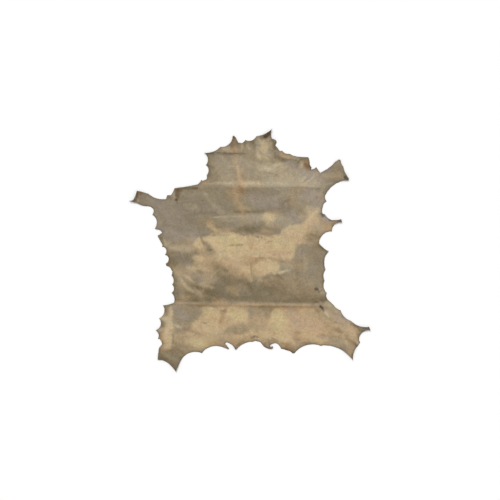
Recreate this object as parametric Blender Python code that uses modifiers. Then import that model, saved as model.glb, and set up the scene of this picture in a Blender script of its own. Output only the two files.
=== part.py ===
"""A raw goat hide, dried on pegs, folded away and then laid out flat again.

The hide is one sheet. Its edge is a chain of corners, where the pegs held the skin, with an arc
drawn in between each two. The sheet lies on z = 0, raised only along the folds it was stored in,
along a few creases, in a few broad swells and at its curled tips. X runs from the left legs to the
right legs, Y from rump to neck, Z up. Tables are in millimetres.
"""
import math
from collections import namedtuple

import bmesh
import bpy
from mathutils import Vector

MM = 0.001

THICKNESS = 1.6          # of the dried skin
GRID_PITCH = 18.0        # spacing of the sheet's own grid
GRID_HALF = 522.0        # the grid reaches this far each way, past every tip
ARC_ERROR = 0.7          # how far a chord may stand off its arc
CUT_BELOW = 20.0         # the outline's prism runs from here below the floor ...
CUT_ABOVE = 60.0         # ... to here above it
WELD_GAP = 0.1           # corners closer than this, where the cut crosses the grid, are made one

# A corner of the edge, and how far the arc from it to the next corner is drawn in.
# A negative sag bulges out.
Peg = namedtuple("Peg", "x y sag")

# Clockwise from the left corner of the neck.
EDGE = {
    "neck": [
        Peg(-191, 404, 9.1), Peg(-122, 428, 15.3), Peg(-70, 474, -1.2),
        Peg(-64, 473, -2.1), Peg(-48, 446, 0.4), Peg(-30, 444, 1.7),
        Peg(-18, 458, 11.2), Peg(27, 472, 6.6), Peg(96, 505, 6.6),
        Peg(93, 462, 0), Peg(106, 457, -1.2), Peg(112, 448, 0),
        Peg(106, 435, 0), Peg(117, 422, 0.8), Peg(127, 410, 0),
        Peg(134, 413, 0.8), Peg(147, 402, 0.8), Peg(168, 399, 0.8),
        Peg(182, 391, 2.1), Peg(243, 386, -1.7),
    ],
    "right foreleg": [
        Peg(249, 356, 0), Peg(257, 342, 0), Peg(253, 334, 3.3),
        Peg(277, 345, 0.8), Peg(292, 321, 3.3), Peg(346, 356, -3.3),
        Peg(373, 376, 0), Peg(377, 373, 2.5), Peg(388, 348, 3.3),
        Peg(411, 297, 0), Peg(410, 289, 0), Peg(387, 289, 9.5),
        Peg(313, 228, 2.9),
    ],
    "right flank": [
        Peg(319, 202, 0), Peg(308, 194, 2.1), Peg(300, 156, 1.7),
        Peg(312, 149, 3.3), Peg(340, 125, 1.7), Peg(379, 128, -0.8),
        Peg(382, 115, 13.7), Peg(341, 78, 15.8), Peg(288, 28, 2.9),
        Peg(328, -5, 11.6), Peg(315, -80, 6.6), Peg(311, -127, 7.9),
        Peg(320, -178, 3.7), Peg(323, -204, 0), Peg(349, -229, 2.9),
    ],
    "right hindleg": [
        Peg(378, -250, 7.9), Peg(421, -294, 9.1), Peg(494, -318, 0),
        Peg(501, -333, 16.2), Peg(454, -373, 0), Peg(458, -383, 0),
        Peg(448, -397, 7.5),
    ],
    "rump": [
        Peg(428, -457, 18.3), Peg(303, -395, 0), Peg(296, -397, 18.7),
        Peg(186, -427, -0.8), Peg(177, -427, 0), Peg(167, -419, 0.4),
        Peg(131, -409, 2.1), Peg(111, -386, 2.5), Peg(84, -394, 0),
        Peg(86, -400, 2.1), Peg(95, -398, -0.8), Peg(97, -404, -1.7),
        Peg(90, -410, -6.2), Peg(51, -390, 0), Peg(44, -381, 0),
        Peg(22, -376, 0), Peg(12, -380, 8.3), Peg(-56, -412, 0),
        Peg(-60, -412, 6.2), Peg(-97, -382, 0.8), Peg(-102, -388, 0),
        Peg(-85, -408, 0), Peg(-91, -410, 2.1), Peg(-140, -397, 7.9),
    ],
    "left hindleg": [
        Peg(-198, -427, 17), Peg(-285, -456, 1.2), Peg(-306, -505, 7.1),
        Peg(-364, -455, 0), Peg(-381, -454, -0.8), Peg(-376, -405, 0.4),
        Peg(-363, -389, 1.2), Peg(-374, -368, 0), Peg(-382, -369, 8.3),
        Peg(-390, -332, 14.5), Peg(-376, -283, 13.7),
    ],
    "left flank": [
        Peg(-360, -229, 2.5), Peg(-314, -218, 6.2), Peg(-324, -177, 8.7),
        Peg(-321, -143, 7.5), Peg(-324, -105, 11.2), Peg(-346, -65, 0),
        Peg(-348, -56, 13.7), Peg(-351, -19, 12), Peg(-364, 14, 0.4),
        Peg(-362, 23, -0.8), Peg(-381, 58, -0.4), Peg(-380, 62, 1.7),
        Peg(-363, 73, 0.4), Peg(-372, 84, 0), Peg(-393, 89, 12.5),
    ],
    "left foreleg": [
        Peg(-403, 147, 3.7), Peg(-401, 173, -1.2), Peg(-409, 180, 0),
        Peg(-445, 185, 0), Peg(-470, 197, 0.4), Peg(-501, 202, 0.4),
        Peg(-483, 208, 2.1), Peg(-468, 246, -0.8), Peg(-420, 234, 8.7),
        Peg(-347, 212, 0), Peg(-342, 227, 0), Peg(-327, 228, 1.7),
        Peg(-312, 257, 1.7), Peg(-216, 273, 2.1), Peg(-201, 291, 0),
        Peg(-195, 287, 0.4), Peg(-177, 295, 0.4), Peg(-178, 311, 10),
        Peg(-182, 353, 13.3),
    ],
}

# A sharp ridge along a line. It falls to nothing over a reach on the left of the line, as one
# walks from its start to its end, and over another on the right.
Ridge = namedtuple("Ridge", "x y to_x to_y rise left_reach right_reach")

# The folds that the hide was stored in run across it from left to right.
FOLDS = {
    "neck": Ridge(-200, 401, -20, 397, 3.0, 26, 9),
    "shoulder": Ridge(-330, 256, 330, 264, 3.5, 30, 24),
    "back": Ridge(-190, 135, 0, 140, 1.8, 14, 14),
    "rump": Ridge(-380, -223, 335, -233, 3.4, 16, 15),
}
# Creases where the skin buckled as it dried.
CREASES = {
    "loin": Ridge(-10, -28, 60, -29, 1.8, 11, 13),
    "loin turn": Ridge(60, -29, 114, -70, 1.8, 11, 13),
    "long belly": Ridge(-290, -104, -206, -176, 2.2, 13, 13),
    "short belly": Ridge(-262, -88, -208, -142, 1.8, 11, 11),
    "left thigh": Ridge(-321, -236, -318, -426, 2.0, 11, 13),
    "right thigh": Ridge(298, -250, 345, -294, 2.0, 12, 12),
    "right shoulder": Ridge(244, 114, 296, 184, 1.8, 12, 12),
    "right neck": Ridge(104, 420, 114, 356, 1.8, 12, 12),
}
RIDGES = [*FOLDS.values(), *CREASES.values()]
RIDGE_STEPS = (-1.0, -0.4, 0.0, 0.4, 1.0)  # grid lines along a ridge, in its reaches
RIDGE_FADE = 60.0                          # a ridge rises over this length at each end,
RIDGE_FADE_SHARE = 0.45                    # or over this much of its own length, if less

# A broad, low swell where the skin stands off the floor.
Swell = namedtuple("Swell", "x y reach_x reach_y rise")
SWELLS = {
    "neck": Swell(-20, 335, 110, 45, 4.0),
    "left shoulder": Swell(-247, 140, 130, 75, 5.0),
    "right shoulder": Swell(175, 185, 120, 55, 5.0),
    "left belly": Swell(-265, -130, 65, 60, 4.0),
    "saddle": Swell(60, -70, 70, 40, 3.0),
    "right belly": Swell(225, -60, 75, 100, 4.0),
    "croup": Swell(40, -310, 150, 55, 3.5),
    "right thigh": Swell(350, -320, 90, 50, 5.0),
    "left thigh": Swell(-270, -350, 80, 55, 4.0),
}

# A tip of the edge that curled up as the skin dried, rising toward the tip.
Curl = namedtuple("Curl", "x y reach rise")
CURLS = {
    "left foreleg tail": Curl(-501, 201, 85, 9.0),
    "left foreleg corner": Curl(-466, 246, 45, 4.0),
    "neck left tip": Curl(-189, 403, 50, 5.0),
    "neck ear": Curl(-65, 474, 45, 5.0),
    "neck right tip": Curl(96, 505, 75, 10.0),
    "right foreleg top": Curl(375, 376, 50, 5.0),
    "right foreleg corner": Curl(412, 292, 60, 8.0),
    "right flank spur": Curl(383, 120, 55, 8.0),
    "right hindleg spur": Curl(501, -326, 70, 9.0),
    "right hindleg tip": Curl(428, -456, 80, 9.0),
    "rump hook": Curl(97, -405, 30, 4.0),
    "rump barb": Curl(-88, -410, 30, 4.0),
    "rump middle": Curl(-57, -413, 35, 4.0),
    "left hindleg tip": Curl(-306, -505, 80, 9.0),
    "left hindleg corner": Curl(-381, -455, 45, 5.0),
    "left thigh tip": Curl(-389, -333, 35, 4.0),
    "left knee tip": Curl(-393, 89, 40, 4.0),
}

RAWHIDE_COLOUR = (0.352, 0.270, 0.177, 1.0)
RAWHIDE_ROUGHNESS = 0.72


def clear_scene():
    for old in list(bpy.data.objects):
        bpy.data.objects.remove(old)


def new_collection(name):
    collection = bpy.data.collections.new(name)
    bpy.context.scene.collection.children.link(collection)
    return collection


def rawhide():
    material = bpy.data.materials.new("rawhide")
    material.use_nodes = True
    shader = material.node_tree.nodes["Principled BSDF"]
    shader.inputs["Base Color"].default_value = RAWHIDE_COLOUR
    shader.inputs["Roughness"].default_value = RAWHIDE_ROUGHNESS
    material.diffuse_color = RAWHIDE_COLOUR
    return material


def arc_points(start, end, sag):
    """Points from start up to, but not at, end. The inside of the hide is on the right."""
    first = Vector((start.x, start.y))
    chord = Vector((end.x, end.y)) - first
    if sag == 0:
        return [first]
    half = chord.length / 2
    radius = (half * half + sag * sag) / (2 * abs(sag))
    sweep = 2 * math.asin(min(1.0, half / radius))
    step = 2 * math.acos(1 - ARC_ERROR / radius)
    count = max(1, math.ceil(sweep / step))
    inward = Vector((chord.y, -chord.x)).normalized() * math.copysign(1.0, sag)
    points = []
    for i in range(count):
        share = i / count
        along = (share - 0.5) * 2 * half
        depth = math.sqrt(radius * radius - along * along) - (radius - abs(sag))
        points.append(first + chord * share + inward * depth)
    return points


def edge_points():
    pegs = [peg for stretch in EDGE.values() for peg in stretch]
    points = []
    for peg, following in zip(pegs, pegs[1:] + pegs[:1]):
        points.extend(arc_points(peg, following, peg.sag))
    return points


def bump(distance):
    """1 at distance 0, falling smoothly to 0 at distance 1 and staying there."""
    return (1 - distance * distance) ** 2 if distance < 1 else 0.0


def ridge_height(ridge, x, y):
    """The ridge's rise, less toward its two ends and to each side as (1 - distance)^2."""
    run = Vector((ridge.to_x - ridge.x, ridge.to_y - ridge.y))
    from_start = Vector((x - ridge.x, y - ridge.y))
    gone = from_start.dot(run) / run.length
    left = run.cross(from_start) / run.length
    off = left / ridge.left_reach if left > 0 else -left / ridge.right_reach
    fade = min(RIDGE_FADE, RIDGE_FADE_SHARE * run.length)
    to_end = min(gone, run.length - gone) / fade
    if off >= 1 or to_end <= 0:
        return 0.0
    return ridge.rise * (1 - off) ** 2 * (1 - bump(to_end))


def height(x, y):
    """How far the underside of the skin stands off the floor at x, y."""
    ridges = sum(ridge_height(ridge, x, y) for ridge in RIDGES)
    swells = sum(
        swell.rise * bump(math.hypot((x - swell.x) / swell.reach_x, (y - swell.y) / swell.reach_y))
        for swell in SWELLS.values()
    )
    curls = sum(
        curl.rise * bump(math.hypot(x - curl.x, y - curl.y) / curl.reach)
        for curl in CURLS.values()
    )
    return ridges + swells + curls


def cut_along(skin, ridge):
    """Lines through the flat grid along a ridge, so that the sheet can bend there."""
    start = Vector((ridge.x, ridge.y, 0))
    run = Vector((ridge.to_x, ridge.to_y, 0)) - start
    along = run.normalized()
    left = Vector((-along.y, along.x, 0))
    for step in RIDGE_STEPS:
        on_line = start + left * step * (ridge.left_reach if step > 0 else ridge.right_reach)
        crossed = []
        for face in skin.faces:
            away = face.calc_center_median() - on_line
            beside_line = abs(away.dot(left)) < GRID_PITCH
            if beside_line and -GRID_PITCH < away.dot(along) < run.length + GRID_PITCH:
                crossed.append(face)
        edges = {edge for face in crossed for edge in face.edges}
        verts = {vert for face in crossed for vert in face.verts}
        near = [*verts, *edges, *crossed]
        bmesh.ops.bisect_plane(skin, geom=near, plane_co=on_line, plane_no=left)


def add_sheet(collection, material):
    """A square sheet with grid lines along its ridges, raised by height() and given thickness."""
    skin = bmesh.new()
    cells = round(2 * GRID_HALF / GRID_PITCH)
    bmesh.ops.create_grid(skin, x_segments=cells, y_segments=cells, size=GRID_HALF)
    for ridge in RIDGES:
        cut_along(skin, ridge)
    bmesh.ops.triangulate(skin, faces=skin.faces)
    for vert in skin.verts:
        vert.co.z = height(vert.co.x, vert.co.y)
    bmesh.ops.scale(skin, vec=(MM, MM, MM), verts=skin.verts)
    mesh = bpy.data.meshes.new("hide")
    skin.to_mesh(mesh)
    skin.free()
    mesh.materials.append(material)
    sheet = bpy.data.objects.new("hide", mesh)
    collection.objects.link(sheet)
    shell = sheet.modifiers.new("thickness", "SOLIDIFY")
    shell.thickness = THICKNESS * MM
    shell.offset = 1.0
    return sheet


def add_edge_cutter(collection):
    """The hide's outline as a tall prism."""
    curve = bpy.data.curves.new("edge", "CURVE")
    curve.dimensions = "2D"
    curve.fill_mode = "BOTH"
    curve.extrude = (CUT_BELOW + CUT_ABOVE) / 2 * MM
    points = edge_points()
    spline = curve.splines.new("POLY")
    spline.points.add(len(points) - 1)
    for slot, point in zip(spline.points, points):
        slot.co = (point.x * MM, point.y * MM, 0, 1)
    spline.use_cyclic_u = True
    drawn = bpy.data.objects.new("edge_curve", curve)
    collection.objects.link(drawn)
    bpy.context.view_layer.update()
    evaluated = drawn.evaluated_get(bpy.context.evaluated_depsgraph_get())
    mesh = bpy.data.meshes.new_from_object(evaluated)
    bpy.data.objects.remove(drawn)
    welded = bmesh.new()
    welded.from_mesh(mesh)
    bmesh.ops.remove_doubles(welded, verts=welded.verts, dist=0.01 * MM)
    bmesh.ops.recalc_face_normals(welded, faces=welded.faces)
    welded.to_mesh(mesh)
    welded.free()
    cutter = bpy.data.objects.new("edge", mesh)
    cutter.location.z = (CUT_ABOVE - CUT_BELOW) / 2 * MM
    cutter.hide_render = True
    cutter.display_type = "WIRE"
    collection.objects.link(cutter)
    return cutter


def trim(sheet, cutter):
    cut = sheet.modifiers.new("outline", "BOOLEAN")
    cut.operation = "INTERSECT"
    cut.solver = "EXACT"
    cut.object = cutter
    weld = sheet.modifiers.new("close_corners", "WELD")
    weld.merge_threshold = WELD_GAP * MM


clear_scene()
hide = add_sheet(new_collection("leather_hide"), rawhide())
trim(hide, add_edge_cutter(new_collection("cutters")))
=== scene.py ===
from collections import namedtuple

import bpy
import numpy as np
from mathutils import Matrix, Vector
from mathutils.geometry import delaunay_2d_cdt


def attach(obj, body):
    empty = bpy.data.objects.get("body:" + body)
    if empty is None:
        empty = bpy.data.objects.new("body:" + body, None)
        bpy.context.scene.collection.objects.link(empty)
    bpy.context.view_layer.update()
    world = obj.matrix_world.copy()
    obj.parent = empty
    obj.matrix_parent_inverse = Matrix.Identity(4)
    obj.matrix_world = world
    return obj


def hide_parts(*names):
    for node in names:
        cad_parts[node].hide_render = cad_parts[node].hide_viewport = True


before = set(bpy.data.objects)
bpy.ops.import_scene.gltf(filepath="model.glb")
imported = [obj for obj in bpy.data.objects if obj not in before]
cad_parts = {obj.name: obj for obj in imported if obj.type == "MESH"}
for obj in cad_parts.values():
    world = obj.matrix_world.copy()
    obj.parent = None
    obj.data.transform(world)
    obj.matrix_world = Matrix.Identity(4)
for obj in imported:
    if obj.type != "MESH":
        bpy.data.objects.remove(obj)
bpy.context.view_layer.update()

# ---- The cut edge of the hide ----
# The wet skin was stretched on pegs, which pulled its edge out into corners. Between two corners
# the edge drew in as it dried, in an arc. Its rim is a little ragged, as a dried cut edge is.
MM = 0.001               # lengths here are in millimetres, and in metres in the mesh
EDGE_STEP = 3.4          # spacing of the rim's points
NICK_WAVE = 9.0          # length and depth of the small nicks along the rim
NICK_SIZE = 0.55
NICK_SEED = 3
LATTICE_SIDE = 400       # random numbers along each side of a lattice

# A corner of the edge, and how far the arc from it to the next one is drawn in.
Peg = namedtuple("Peg", "x y sag")
EDGE = {
    "neck": [
        Peg(-191, 404, 9.1), Peg(-122, 428, 15.3), Peg(-70, 474, -1.2),
        Peg(-64, 473, -2.1), Peg(-48, 446, 0.4), Peg(-30, 444, 1.7),
        Peg(-18, 458, 11.2), Peg(27, 472, 6.6), Peg(96, 505, 6.6),
        Peg(93, 462, 0), Peg(106, 457, -1.2), Peg(112, 448, 0),
        Peg(106, 435, 0), Peg(117, 422, 0.8), Peg(127, 410, 0),
        Peg(134, 413, 0.8), Peg(147, 402, 0.8), Peg(168, 399, 0.8),
        Peg(182, 391, 2.1), Peg(243, 386, -1.7),
    ],
    "right foreleg": [
        Peg(249, 356, 0), Peg(257, 342, 0), Peg(253, 334, 3.3),
        Peg(277, 345, 0.8), Peg(292, 321, 3.3), Peg(346, 356, -3.3),
        Peg(373, 376, 0), Peg(377, 373, 2.5), Peg(388, 348, 3.3),
        Peg(411, 297, 0), Peg(410, 289, 0), Peg(387, 289, 9.5),
        Peg(313, 228, 2.9),
    ],
    "right flank": [
        Peg(319, 202, 0), Peg(308, 194, 2.1), Peg(300, 156, 1.7),
        Peg(312, 149, 3.3), Peg(340, 125, 1.7), Peg(379, 128, -0.8),
        Peg(382, 115, 13.7), Peg(341, 78, 15.8), Peg(288, 28, 2.9),
        Peg(328, -5, 11.6), Peg(315, -80, 6.6), Peg(311, -127, 7.9),
        Peg(320, -178, 3.7), Peg(323, -204, 0), Peg(349, -229, 2.9),
    ],
    "right hindleg": [
        Peg(378, -250, 7.9), Peg(421, -294, 9.1), Peg(494, -318, 0),
        Peg(501, -333, 16.2), Peg(454, -373, 0), Peg(458, -383, 0),
        Peg(448, -397, 7.5),
    ],
    "rump": [
        Peg(428, -457, 18.3), Peg(303, -395, 0), Peg(296, -397, 18.7),
        Peg(186, -427, -0.8), Peg(177, -427, 0), Peg(167, -419, 0.4),
        Peg(131, -409, 2.1), Peg(111, -386, 2.5), Peg(84, -394, 0),
        Peg(86, -400, 2.1), Peg(95, -398, -0.8), Peg(97, -404, -1.7),
        Peg(90, -410, -6.2), Peg(51, -390, 0), Peg(44, -381, 0),
        Peg(22, -376, 0), Peg(12, -380, 8.3), Peg(-56, -412, 0),
        Peg(-60, -412, 6.2), Peg(-97, -382, 0.8), Peg(-102, -388, 0),
        Peg(-85, -408, 0), Peg(-91, -410, 2.1), Peg(-140, -397, 7.9),
    ],
    "left hindleg": [
        Peg(-198, -427, 17), Peg(-285, -456, 1.2), Peg(-306, -505, 7.1),
        Peg(-364, -455, 0), Peg(-381, -454, -0.8), Peg(-376, -405, 0.4),
        Peg(-363, -389, 1.2), Peg(-374, -368, 0), Peg(-382, -369, 8.3),
        Peg(-390, -332, 14.5), Peg(-376, -283, 13.7),
    ],
    "left flank": [
        Peg(-360, -229, 2.5), Peg(-314, -218, 6.2), Peg(-324, -177, 8.7),
        Peg(-321, -143, 7.5), Peg(-324, -105, 11.2), Peg(-346, -65, 0),
        Peg(-348, -56, 13.7), Peg(-351, -19, 12), Peg(-364, 14, 0.4),
        Peg(-362, 23, -0.8), Peg(-381, 58, -0.4), Peg(-380, 62, 1.7),
        Peg(-363, 73, 0.4), Peg(-372, 84, 0), Peg(-393, 89, 12.5),
    ],
    "left foreleg": [
        Peg(-403, 147, 3.7), Peg(-401, 173, -1.2), Peg(-409, 180, 0),
        Peg(-445, 185, 0), Peg(-470, 197, 0.4), Peg(-501, 202, 0.4),
        Peg(-483, 208, 2.1), Peg(-468, 246, -0.8), Peg(-420, 234, 8.7),
        Peg(-347, 212, 0), Peg(-342, 227, 0), Peg(-327, 228, 1.7),
        Peg(-312, 257, 1.7), Peg(-216, 273, 2.1), Peg(-201, 291, 0),
        Peg(-195, 287, 0.4), Peg(-177, 295, 0.4), Peg(-178, 311, 10),
        Peg(-182, 353, 13.3),
    ],
}


def chance(x, y, wave, seed):
    """Smooth random field from -1 to 1: random numbers on a square lattice, a wave apart, joined by
    the blend 6t^5 - 15t^4 + 10t^3 along x and then along y."""
    lattice = np.random.default_rng(seed).uniform(-1.0, 1.0, (LATTICE_SIDE, LATTICE_SIDE))
    u, v = x / wave + LATTICE_SIDE / 2, y / wave + LATTICE_SIDE / 2
    i, j = np.floor(u).astype(int), np.floor(v).astype(int)
    p, q = (t ** 3 * (t * (6 * t - 15) + 10) for t in (u - i, v - j))
    i, j = i % (LATTICE_SIDE - 1), j % (LATTICE_SIDE - 1)
    near = lattice[i, j] * (1 - p) + lattice[i + 1, j] * p
    far = lattice[i, j + 1] * (1 - p) + lattice[i + 1, j + 1] * p
    return near * (1 - q) + far * q


def arc(start, end, sag):
    """Points from start up to end: along the chord, off it by sqrt(r^2 - d^2) - (r - sag), where d
    is the distance from the chord's middle and r the radius that gives the sag."""
    first, chord = np.array(start), np.array(end) - start
    length = np.hypot(*chord)
    share = np.linspace(0, 1, max(1, int(np.ceil(length / EDGE_STEP))), endpoint=False)[:, None]
    if sag == 0:
        return first + chord * share
    radius = (length * length / 4 + sag * sag) / (2 * abs(sag))
    off = np.sqrt(np.maximum(radius ** 2 - (share - 0.5) ** 2 * length ** 2, 0)) - radius + abs(sag)
    inward = np.array([chord[1], -chord[0]]) / length * np.sign(sag)
    return first + chord * share + inward * off


pegs = [peg for stretch in EDGE.values() for peg in stretch]
rim = np.concatenate([arc(a[:2], b[:2], a.sag) for a, b in zip(pegs, pegs[1:] + pegs[:1])])[::-1]
along = np.roll(rim, -1, axis=0) - np.roll(rim, 1, axis=0)
outward = np.stack([along[:, 1], -along[:, 0]], axis=1) / np.hypot(*along.T)[:, None]
rim = rim + outward * (chance(*rim.T, NICK_WAVE, NICK_SEED) * NICK_SIZE)[:, None]

# ---- The shape of the skin as it lies ----
# One sheet of dried goat skin. It lies on the floor, and stands off it along the folds it was
# stored in, along creases where it buckled, in broad swells, and at the tips, which curled.
THICKNESS = 1.6

# A sharp ridge along a line, with a reach on its left and one on its right.
Ridge = namedtuple("Ridge", "x y to_x to_y rise left_reach right_reach")
FOLDS = {
    "neck": Ridge(-200, 401, -20, 397, 3.0, 26, 9),
    "shoulder": Ridge(-330, 256, 330, 264, 3.5, 30, 24),
    "back": Ridge(-190, 135, 0, 140, 1.8, 14, 14),
    "rump": Ridge(-380, -223, 335, -233, 3.4, 16, 15),
}
CREASES = {
    "loin": Ridge(-10, -28, 60, -29, 1.8, 11, 13),
    "loin turn": Ridge(60, -29, 114, -70, 1.8, 11, 13),
    "long belly": Ridge(-290, -104, -206, -176, 2.2, 13, 13),
    "short belly": Ridge(-262, -88, -208, -142, 1.8, 11, 11),
    "left thigh": Ridge(-321, -236, -318, -426, 2.0, 11, 13),
    "right thigh": Ridge(298, -250, 345, -294, 2.0, 12, 12),
    "right shoulder": Ridge(244, 114, 296, 184, 1.8, 12, 12),
    "right neck": Ridge(104, 420, 114, 356, 1.8, 12, 12),
}
RIDGE_FADE = 60.0        # a ridge rises over this length at each end,
RIDGE_FADE_SHARE = 0.45  # or over this much of its own length, if less
CREST_WANDER = 1.1       # its crest wanders this much, over this wave
CREST_WAVE = 70.0
CREST_SEED = 21

# Finer creases, too small for the solid.
FINE_CREASES = [
    Ridge(-82, 24, -15, 24, 0.5, 7, 8), Ridge(118, -97, 172, -82, 1.3, 8, 9),
    Ridge(201, -207, 317, -193, 1.1, 8, 11), Ridge(60, -362, 122, -377, 0.9, 7, 8),
    Ridge(14, -355, 31, -379, 1.5, 8, 7), Ridge(-32, 444, -28, 395, 0.9, 8, 8),
    Ridge(230, 295, 304, 266, 0.9, 8, 8), Ridge(159, 216, 151, 158, 0.8, 8, 8),
    Ridge(-189, 42, -148, -8, 0.9, 8, 8), Ridge(242, 92, 333, 96, 0.8, 7, 8),
    Ridge(-301, 254, -297, 208, 1.4, 10, 10), Ridge(1, -41, 4, -112, 0.8, 7, 7),
    Ridge(-156, -66, -115, -145, 0.8, 12, 12), Ridge(-102, -145, -77, -207, 0.7, 12, 12),
    Ridge(-272, -282, -289, -394, 0.8, 12, 12), Ridge(209, -257, 192, -386, 0.7, 12, 12),
    Ridge(-106, -249, -115, -373, 0.7, 12, 12), Ridge(51, 249, 35, 150, 0.6, 12, 12),
    Ridge(-115, 366, -98, 291, 0.7, 12, 12), Ridge(35, 349, 84, 335, 1, 10, 12),
    Ridge(80, 335, 122, 361, 1, 10, 12), Ridge(118, 345, 184, 366, 1, 12, 12),
    Ridge(192, 337, 226, 378, 1.1, 8, 8), Ridge(-198, 249, -148, 187, 1, 12, 14),
    Ridge(-156, 200, -106, 146, 1.1, 12, 14), Ridge(-289, 216, -260, 254, 0.7, 10, 10),
    Ridge(-140, 370, -73, 332, 0.8, 12, 12), Ridge(209, 266, 255, 320, 0.9, 10, 10),
    Ridge(246, 316, 300, 278, 0.9, 11, 11), Ridge(109, 166, 176, 216, -1, 12, 12),
    Ridge(-28, 353, 60, 303, -0.9, 12, 14), Ridge(51, 303, 134, 308, -0.9, 14, 14),
    Ridge(126, 303, 167, 337, -0.9, 12, 12), Ridge(-181, 357, -135, 332, -1, 11, 11),
    Ridge(-173, 328, -131, 287, -1, 11, 11), Ridge(-73, 158, 60, 161, -0.8, 12, 12),
    Ridge(-289, 137, -123, 158, -0.8, 12, 12), Ridge(-57, 245, 51, 245, -0.7, 12, 12),
    Ridge(-339, 0, -223, -4, 0.9, 10, 12), Ridge(-281, -95, -227, -141, 1.2, 10, 12),
    Ridge(1, -30, 76, -33, 0.8, 10, 7), Ridge(68, -32, 130, -62, 0.8, 10, 7),
    Ridge(217, 29, 220, -124, -0.7, 10, 10), Ridge(201, -41, 202, -174, -0.6, 10, 10),
    Ridge(267, -141, 209, -153, 0.7, 10, 10), Ridge(-82, -369, 10, -351, 0.9, 10, 10),
    Ridge(-322, -294, -272, -326, 1, 9, 11), Ridge(292, -249, 333, -280, 1.1, 8, 10),
    Ridge(-194, -240, -191, -290, 0.7, 8, 8), Ridge(300, 303, 363, 313, 0.8, 11, 12),
]

Swell = namedtuple("Swell", "x y reach_x reach_y rise")
SWELLS = {
    "neck": Swell(-20, 335, 110, 45, 4.0),
    "left shoulder": Swell(-247, 140, 130, 75, 5.0),
    "right shoulder": Swell(175, 185, 120, 55, 5.0),
    "left belly": Swell(-265, -130, 65, 60, 4.0),
    "saddle": Swell(60, -70, 70, 40, 3.0),
    "right belly": Swell(225, -60, 75, 100, 4.0),
    "croup": Swell(40, -310, 150, 55, 3.5),
    "right thigh": Swell(350, -320, 90, 50, 5.0),
    "left thigh": Swell(-270, -350, 80, 55, 4.0),
}

Curl = namedtuple("Curl", "x y reach rise")
CURLS = {
    "left foreleg tail": Curl(-501, 201, 85, 9.0),
    "left foreleg corner": Curl(-466, 246, 45, 4.0),
    "neck left tip": Curl(-189, 403, 50, 5.0),
    "neck ear": Curl(-65, 474, 45, 5.0),
    "neck right tip": Curl(96, 505, 75, 10.0),
    "right foreleg top": Curl(375, 376, 50, 5.0),
    "right foreleg corner": Curl(412, 292, 60, 8.0),
    "right flank spur": Curl(383, 120, 55, 8.0),
    "right hindleg spur": Curl(501, -326, 70, 9.0),
    "right hindleg tip": Curl(428, -456, 80, 9.0),
    "rump hook": Curl(97, -405, 30, 4.0),
    "rump barb": Curl(-88, -410, 30, 4.0),
    "rump middle": Curl(-57, -413, 35, 4.0),
    "left hindleg tip": Curl(-306, -505, 80, 9.0),
    "left hindleg corner": Curl(-381, -455, 45, 5.0),
    "left thigh tip": Curl(-389, -333, 35, 4.0),
    "left knee tip": Curl(-393, 89, 40, 4.0),
}

# Cockling of the whole skin in layers. Its wrinkles run long from left to right.
Cockle = namedtuple("Cockle", "wave rise stretch seed")
COCKLES = [
    Cockle(95.0, 1.2, 1.0, 11), Cockle(40.0, 0.8, 2.2, 12),
    Cockle(18.0, 0.4, 2.2, 13), Cockle(9.0, 0.14, 1.0, 14),
]

# Each corner between two arcs pulled a small ridge into the skin.
PULL_LENGTH = 62.0
PULL_REACH = 9.0
PULL_RISE = 1.1
PULL_LEAST_SAG = 3.0


def bump(distance):
    """(1 - d^2)^2 inside d = 1, and 0 outside."""
    return np.where(distance < 1, (1 - np.minimum(distance, 1) ** 2) ** 2, 0.0)


def pulls():
    """A ridge inward from each corner that stands between two arcs, halfway between its chords."""
    ridges = []
    for before, peg, after in zip(pegs[-1:] + pegs[:-1], pegs, pegs[1:] + pegs[:1]):
        if min(before.sag, peg.sag) < PULL_LEAST_SAG:
            continue
        back = np.array([before.x - peg.x, before.y - peg.y], float)
        on = np.array([after.x - peg.x, after.y - peg.y], float)
        inward = back / np.hypot(*back) + on / np.hypot(*on)
        inward *= PULL_LENGTH / np.hypot(*inward)
        ends = peg.x - inward[0], peg.y - inward[1], peg.x + inward[0], peg.y + inward[1]
        ridges.append(Ridge(*ends, PULL_RISE, PULL_REACH, PULL_REACH))
    return ridges


def ridge_height(r, x, y):
    """rise * (1 - off)^2 * (1 - bump(to_end)): off is the distance to the wandering line in
    reaches of that side, and to_end the distance to the nearer end in fade lengths."""
    run, lift = r.to_x - r.x, r.to_y - r.y
    length = np.hypot(run, lift)
    gone = ((x - r.x) * run + (y - r.y) * lift) / length
    left = ((y - r.y) * run - (x - r.x) * lift) / length
    left = left - CREST_WANDER * chance(x, y, CREST_WAVE, CREST_SEED)
    off = np.minimum(np.where(left > 0, left / r.left_reach, -left / r.right_reach), 1)
    fade = min(RIDGE_FADE, RIDGE_FADE_SHARE * length)
    to_end = np.clip(np.minimum(gone, length - gone) / fade, 0, 1)
    return r.rise * (1 - off) ** 2 * (1 - bump(to_end))


def underside(x, y):
    """Height of the skin's underside: ridges + swells + curls + cockling."""
    z = np.zeros_like(x)
    for ridge in [*FOLDS.values(), *CREASES.values(), *FINE_CREASES, *pulls()]:
        z += ridge_height(ridge, x, y)
    for s in SWELLS.values():
        z += s.rise * bump(np.hypot((x - s.x) / s.reach_x, (y - s.y) / s.reach_y))
    for c in CURLS.values():
        z += c.rise * bump(np.hypot(x - c.x, y - c.y) / c.reach)
    for c in COCKLES:
        z += c.rise * (0.5 + 0.5 * chance(x / c.stretch, y, c.wave, c.seed))
    return z


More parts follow.
